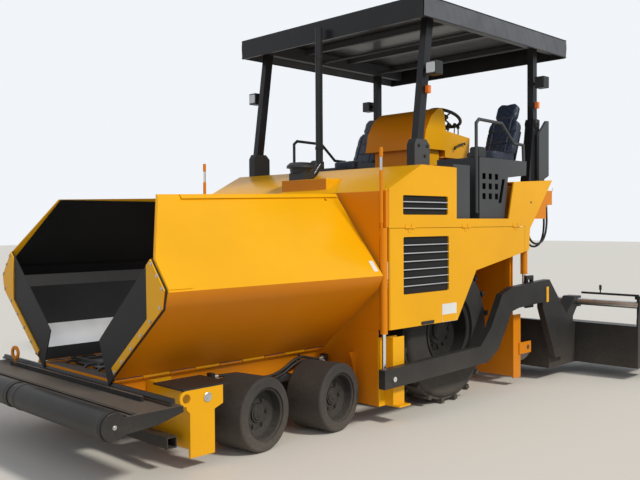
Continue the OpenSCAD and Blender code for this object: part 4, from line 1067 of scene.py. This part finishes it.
class PAVER_OT_front(bpy.types.Operator):
    """Adds the push beam's bar, its slots as near-black strips of painted shade, collars and pins, and the
    front brackets' fittings
    """

    bl_idname = "paver.front"
    bl_label = "Front beam"

    def execute(self, context):
        roller_y, roller_z = -3.258, 0.480
        beam_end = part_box("push_beam")[1].x
        collar = [(0.0925, 0), (0.0925, 0.030), (0.0942, 0.032), (0.0952, 0.038), (0.0952, 0.052),
                  (0.0942, 0.058), (0.0925, 0.060), (0.0925, 0.066), (0.090, 0.066), (0.090, 0)]
        cap = disc((0.034, 0), (0.034, 0.004), (0.031, 0.006), (0.026, 0.0045), (0.012, 0.0045),
                   (0.010, 0.009))
        for side, s in SIDES:
            body = "push_roller_" + side
            for x, name in ((0.034, "inner"), (1.196, "outer")):
                finish_piece(turned(collar, (s * x, roller_y, roller_z), (s, 0, 0)),
                             f"{body}_{name}_collar", body, "dark")
            bolts("beam_pin_" + side, [((s * beam_end, roller_y, roller_z), (s, 0, 0))], "root",
                  r=0.011, h=0.006)
            finish_piece(turned(cap, (s * 1.0602, -2.390, 0.492), (s, 0, 0), 40), "bracket_cap_" + side,
                         "root", "silver")
        hook = [(0.030, -0.007), (0.036, -0.009), (0.052, -0.009), (0.058, -0.006), (0.058, 0.006),
                (0.052, 0.009), (0.036, 0.009), (0.030, 0.007)]
        eye = turned(hook, (-0.911, -2.886, 0.640), (-0.12, 1, 0))
        arm = rod((-0.911, -2.883, 0.550), (-0.911, -2.885, 0.600), 0.008, 16)
        finish_piece(join([eye, arm]), "lifting_ring", "root", "frame")
        repaint_skin("push_beam", "deckplate", lambda c, n: n.z > 0.9)
        bar = [(-2.842, 0.5455), (-2.806, 0.5455), (-2.806, 0.580), (-2.826, 0.580), (-2.830, 0.562),
               (-2.842, 0.560)]
        finish_piece(prism(bar, "YZ", -1.270, 1.270, edge=0.002), "beam_bar", "root", "black")
        # the slots are thin near-black strips on the beam's top: painted shade in place of openings
        slots = [prism([(y, 0.5302), (y + 0.010, 0.5302), (y + 0.010, 0.5312), (y, 0.5312)], "YZ",
                       -1.275, 1.275) for y in (-3.118, -3.100)]
        finish_piece(join(slots), "beam_slot_shade_strips", "root", "inside")
        return {"FINISHED"}


class PAVER_OT_canopy(bpy.types.Operator):
    """Hangs the canopy's side curtains and dresses its ribs, posts and lamps"""

    bl_idname = "paver.canopy"
    bl_label = "Canopy"

    def execute(self, context):
        repaint_skin("canopy_roof", "rib",
                     lambda c, n: c.z < 3.688 and abs(c.x) < 1.19 and -0.13 < c.y < 2.36)
        repaint_skin("canopy_roof", "roof", lambda c, n: n.z > 0.5 and c.z > 3.69)
        lo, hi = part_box("canopy_curtains")
        long, high = hi.y - lo.y - 0.004, hi.z - lo.z - 0.004
        rows, cols = 16, 170
        curtain_x, wave_h, sag = 1.2468, 0.0052, 0.002
        for side, s in SIDES:
            verts = []
            for i in range(cols + 1):
                y = lo.y + 0.002 + long * i / cols
                for f in (j / rows for j in range(rows + 1)):
                    slack = math.sin(math.pi * f) ** 0.8
                    wave = (0.45 * math.sin(y * 31 + 2.1 * f + s) + 0.35 * math.sin(y * 17 - 3.5 * f)
                            + 0.30 * math.sin(y * 57 + 5 * f))
                    x = curtain_x + wave_h * wave * slack + sag * slack
                    verts.append((s * x, y, lo.z + 0.002 + high * f))
            starts = [i * (rows + 1) + j for i in range(cols) for j in range(rows)]
            faces = [(a, a + 1, a + rows + 2, a + rows + 1) for a in starts]
            curtain = modify(mesh_object("curtain", verts, [], faces), "SOLIDIFY", thickness=0.0012, offset=0)
            finish_piece(face_out(curtain), "curtain_" + side, "root", "curtain", smooth=60)
            if s > 0:
                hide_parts("canopy_curtains")
            rails = [rod((s * 1.247, lo.y, z), (s * 1.247, hi.y, z), 0.0055, 12)
                     for z in (lo.z + 0.006, hi.z - 0.004)]
            finish_piece(join(rails), "curtain_rails_" + side, "root", "black")
        repaint_skin("canopy_posts", "box", lambda c, n: c.z < 2.46 and abs(n.x) > 0.9)
        repaint_skin("main_frame", "deckplate", lambda c, n: n.z > 0.5 and c.y < -0.8)
        repaint_skin("lamps", "amber", lambda c, n: c.z < 3.0 and abs(c.x) > 1.145)
        front, rear = (corner.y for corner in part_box("lamps"))
        lamp_x, half = 1.225, 0.046
        for side, s in SIDES:
            for place, y, z in (("front", front - 0.0062, 3.080), ("rear", rear + 0.0002, 3.180)):
                outline = rounded(s * lamp_x - half, z - half, s * lamp_x + half, z + half, 0.012)
                finish_piece(prism(outline, "XZ", y, y + 0.006, edge=0.002), f"lamp_lens_{place}_{side}",
                             "root", "lens")
        return {"FINISHED"}


class PAVER_OT_seats(bpy.types.Operator):
    """Upholsters the two seats"""

    bl_idname = "paver.seats"
    bl_label = "Seats"

    def execute(self, context):
        x, front_y, box_top = SEAT_X, 1.188, 2.3312
        cushion = prism(rounded(x - 0.184, front_y, x + 0.184, 1.628, 0.060), "XY", 2.336, 2.424,
                        edge=0.034, steps=4)
        back = prism(rounded(x - 0.182, 0.0, x + 0.182, 0.455, 0.105, 8), "XZ", -0.044, 0.044,
                     edge=0.034, steps=4)
        head = prism(rounded(x - 0.128, 0.0, x + 0.128, 0.205, 0.070, 8), "XZ", -0.036, 0.036,
                     edge=0.030, steps=4)
        for pad, (y, z, lean) in ((back, BACK), (head, HEAD)):
            pad.matrix_world = Matrix.Translation((0, y, z)) @ Matrix.Rotation(-math.radians(lean), 4, "X")
            place_in_mesh(pad)
        seam_r, seam_depth, cross_seams = 0.007, 0.009, (0.150, 0.290)

        def drawn_in(distance):
            return math.exp(-(distance / seam_r) ** 2)

        # pad, the (y, z, lean) of its sewn face, and the places across it of the seams that run up it
        pads = ((cushion, (front_y, 2.38, 90.0), (x - 0.105, x + 0.105)),
                (back, BACK, (x - 0.100, x + 0.100)), (head, HEAD, ()))
        for pad, (y, z, lean), seams in pads:
            inflate(pad, 0.010, 0.009)
            a = math.radians(lean)
            out, run = Vector((0, -math.cos(a), math.sin(a))), Vector((0, math.sin(a), math.cos(a)))
            for v in pad.data.vertices:
                offset = v.co - Vector((x, y, z))
                if offset.dot(out) <= 0:
                    continue
                along = offset.dot(run)
                groove = sum(drawn_in(v.co.x - seam) for seam in seams)
                if seams:
                    groove = max(groove, *(drawn_in(along - cross) for cross in cross_seams))
                    crease = 0.0016 * math.sin(v.co.x * 61 + along * 47) * math.sin(along * 83 - v.co.x * 29)
                else:
                    crease = 0.0012 * math.sin(v.co.x * 70 + along * 90)
                v.co -= out * (seam_depth * groove - crease)
        whole = join([pad for pad, _, _ in pads])
        for v in whole.data.vertices:
            v.co.z = max(v.co.z, box_top)
        other = link("seat", whole.data.copy())
        for v in other.data.vertices:
            v.co = (-v.co.x, v.co.y + RIGHT_SEAT_Y, v.co.z)
        face_out(other)
        for (side, s), seat, shift in zip(SIDES, (whole, other), (0, RIGHT_SEAT_Y)):
            finish_piece(seat, "seat_pads_" + side, "root", "cover", smooth=60)
            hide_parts("seat_" + side)
            outline = ((1.640, 2.345), (1.655, 2.345), (1.772, 2.660), (1.757, 2.665))
            shell = prism([(y + shift, z) for y, z in outline], "YZ", s * (x - 0.15), s * (x + 0.15),
                          edge=0.004)
            bars = [rod((s * (x + k), 1.722 + shift, 2.700), (s * (x + k), 1.768 + shift, 2.835), 0.006, 12)
                    for k in (-0.05, 0.05)]
            finish_piece(join([shell, *bars]), "seat_shell_" + side, "root", "plastic")
        return {"FINISHED"}


class PAVER_OT_fittings(bpy.types.Operator):
    """Adds the fittings of the operator's place, exhaust, tail, posts and screed"""

    bl_idname = "paver.fittings"
    bl_label = "Fittings"

    def execute(self, context):
        axis = Matrix.Rotation(-math.radians(25), 3, "X") @ Vector(UP)
        centre = Vector((0.250, 1.490, 2.860))
        deselect()
        bpy.ops.mesh.primitive_torus_add(location=centre, rotation=turn_to(axis).to_euler(),
                                         major_segments=64, minor_segments=14, major_radius=0.190,
                                         minor_radius=0.018)
        rim = place_in_mesh(context.object)
        hub = turned(disc((0.052, 0.018), (0.050, 0.026), (0.036, 0.030)), centre, axis, 40)
        finish_piece(join([rim, hub]), "steering_rim", "root", "plastic", smooth=50)
        finish_piece(box((0.065, 1.262, 2.700), (0.078, 1.372, 2.780), 0.004), "monitor", "root", "plastic")
        # faces turned to the front take the deeper frame orange: painted shade on the side away from the sun
        for name in ("console", "hood"):
            repaint_skin(name, "frame", lambda c, n: n.y < -0.55)
        band = [(0.0365, 0), (0.041, 0), (0.041, 0.030), (0.0365, 0.030)]
        bands = [turned(band, (0.020, -0.235, z), UP, 32) for z in (2.420, 3.300)]
        finish_piece(join(bands), "exhaust_bands", "root", "dark")
        handle = bent_rod([(0.461, y, z) for y, z in ((1.410, 2.490), (1.405, 2.512), (1.480, 2.545),
                                                      (1.590, 2.575), (1.594, 2.555))], 0.010)
        stubs = [rod((0.438, y, z), (0.463, y, z), 0.008, 12) for y, z in ((1.430, 2.524), (1.570, 2.568))]
        finish_piece(join([handle, *stubs]), "pod_handle", "root", "plastic")
        ball = disc((0.010, -0.019), (0.019, -0.008), (0.021, 0.002), (0.018, 0.012), (0.010, 0.020))
        ball[0], ball[-1] = (0, -0.021), (0, 0.022)
        levers = []
        for x, y in ((0.340, 1.560), (0.300, 1.500)):
            levers.append(rod((x, y, 2.640), (x, y + 0.012, 2.770), 0.006, 12))
            levers.append(turned(ball, (x, y + 0.013, 2.785), UP, 24))
        finish_piece(join(levers), "levers", "root", "plastic", smooth=50)
        for side, s in SIDES:
            self.dress_side(side, s)
            self.dress_screed(side, s)
        return {"FINISHED"}

    def dress_side(self, side, s):
        """The case on the seat box, the tail's ports and lever, and the posts' pivots."""
        case = side_box(s, (1.06, 1.17), (0.800, 0.930), (2.3305, 2.430), 0.012, 3)
        lid = side_box(s, (1.07, 1.16), (0.812, 0.918), (2.4285, 2.438), 0.004)
        finish_piece(join([case, lid]), "side_case_" + side, "root", "plastic")
        tail_y = 2.184
        port = disc((0.020, 0), (0.020, 0.022), (0.014, 0.026), (0.014, 0.048))
        port[-1] = (0, 0.050)
        ports = [turned(port, (s * x, tail_y, z), (0, 1, 0), 24)
                 for x, z in ((1.060, 2.005), (1.125, 2.005), (1.125, 1.940))]
        finish_piece(join(ports), "tail_ports_" + side, "root", "plastic")
        lever = rod((s * 1.160, tail_y, 1.915), (s * 1.160, 2.262, 2.075), 0.005, 12)
        finish_piece(lever, "tail_lever_" + side, "root", "chrome")
        pivot = turned(disc((0.040, 0), (0.040, 0.004), (0.034, 0.008), (0.016, 0.008), (0.014, 0.016)),
                       (s * 1.156, 1.930, 2.750), (s, 0, 0), 40)
        foot = disc((0.014, 0), (0.014, 0.008), (0.010, 0.012))
        feet = [turned(foot, (s * 1.140, y, z), (s, 0, 0), 20)
                for y, z in ((-0.100, 2.390), (-0.015, 2.300), (0.020, 2.390))]
        finish_piece(join([pivot, *feet]), "post_pivots_" + side, "root", "dark")

    def dress_screed(self, side, s):
        """The extension's tube, crank and handle, and the stripe on the tow arm."""
        node_name = "screed_extension_" + side
        body = NODES[node_name]["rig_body"]
        repaint_skin(node_name, "silver", lambda c, n: abs(c.y - 2.690) < 0.05
                     and abs(c.z - 0.800) < 0.05 and 1.26 < abs(c.x) < 1.955)
        end_x, tube_y, knob_x, post_y = 1.925, 2.655, 1.520, 2.700
        cap = disc((0.034, 0), (0.036, 0.006), (0.036, 0.030), (0.030, 0.036))
        sleeve = [(0.017, 0), (0.030, 0), (0.030, 0.110), (0.024, 0.118), (0.017, 0.118)]
        rods = [rod((s * 1.300, tube_y, 0.905), (s * 1.950, tube_y, 0.905), 0.012, 20),
                rod((s * end_x, post_y, 0.300), (s * end_x, post_y, 0.880), 0.016, 20),
                turned(cap, (s * end_x, post_y, 0.860), UP, 32),
                turned(sleeve, (s * end_x, post_y, 0.420), UP, 32),
                rod((s * knob_x, tube_y, 0.917), (s * knob_x, tube_y, 0.985), 0.007, 12),
                rod((s * knob_x, tube_y, 0.945), (s * knob_x, tube_y, 1.000), 0.014, 20, 0.003)]
        finish_piece(join(rods), "extension_rods_" + side, body, "dark")
        handle = rod((s * end_x, 2.650, 0.560), (s * end_x, 3.250, 0.640), 0.020, 24, 0.003)
        finish_piece(handle, "extension_handle_" + side, body, "silver")
        stripe = prism(rounded(1.815, 0.860, 1.862, 1.020, 0.004), "YZ", s * 1.3302, s * 1.3312)
        finish_piece(stripe, "arm_label_" + side, NODES["tow_arms"]["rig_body"], "body")


# ---------------------------------------------------------------- panel and registration


PIECES = (PAVER_OT_stage, PAVER_OT_finish_nodes, PAVER_OT_hoses, PAVER_OT_skins, PAVER_OT_hopper,
          PAVER_OT_wheels, PAVER_OT_louvres, PAVER_OT_front, PAVER_OT_canopy, PAVER_OT_seats,
          PAVER_OT_fittings)


class PAVER_PT_pieces(bpy.types.Panel):
    """Lists the paver's sizes, colours and pieces"""

    bl_label = "Paver"
    bl_idname = "PAVER_PT_pieces"
    bl_space_type = "VIEW_3D"
    bl_region_type = "UI"
    bl_category = "Paver"

    def draw(self, context):
        for group in (context.scene.paver_colours, context.scene.paver_sizes):
            for key in group.__annotations__:
                self.layout.prop(group, key)
        for piece in PIECES:
            self.layout.operator(piece.bl_idname)


CLASSES = (PaverColours, PaverSizes, *PIECES, PAVER_PT_pieces)


def register():
    for item in CLASSES:
        bpy.utils.register_class(item)
    bpy.types.Scene.paver_colours = bpy.props.PointerProperty(type=PaverColours)
    bpy.types.Scene.paver_sizes = bpy.props.PointerProperty(type=PaverSizes)


def unregister():
    del bpy.types.Scene.paver_sizes
    del bpy.types.Scene.paver_colours
    for item in reversed(CLASSES):
        bpy.utils.unregister_class(item)


def main():
    register()
    for piece in PIECES:
        group, name = piece.bl_idname.split(".")
        getattr(getattr(bpy.ops, group), name)()


if __name__ == "__main__":
    main()
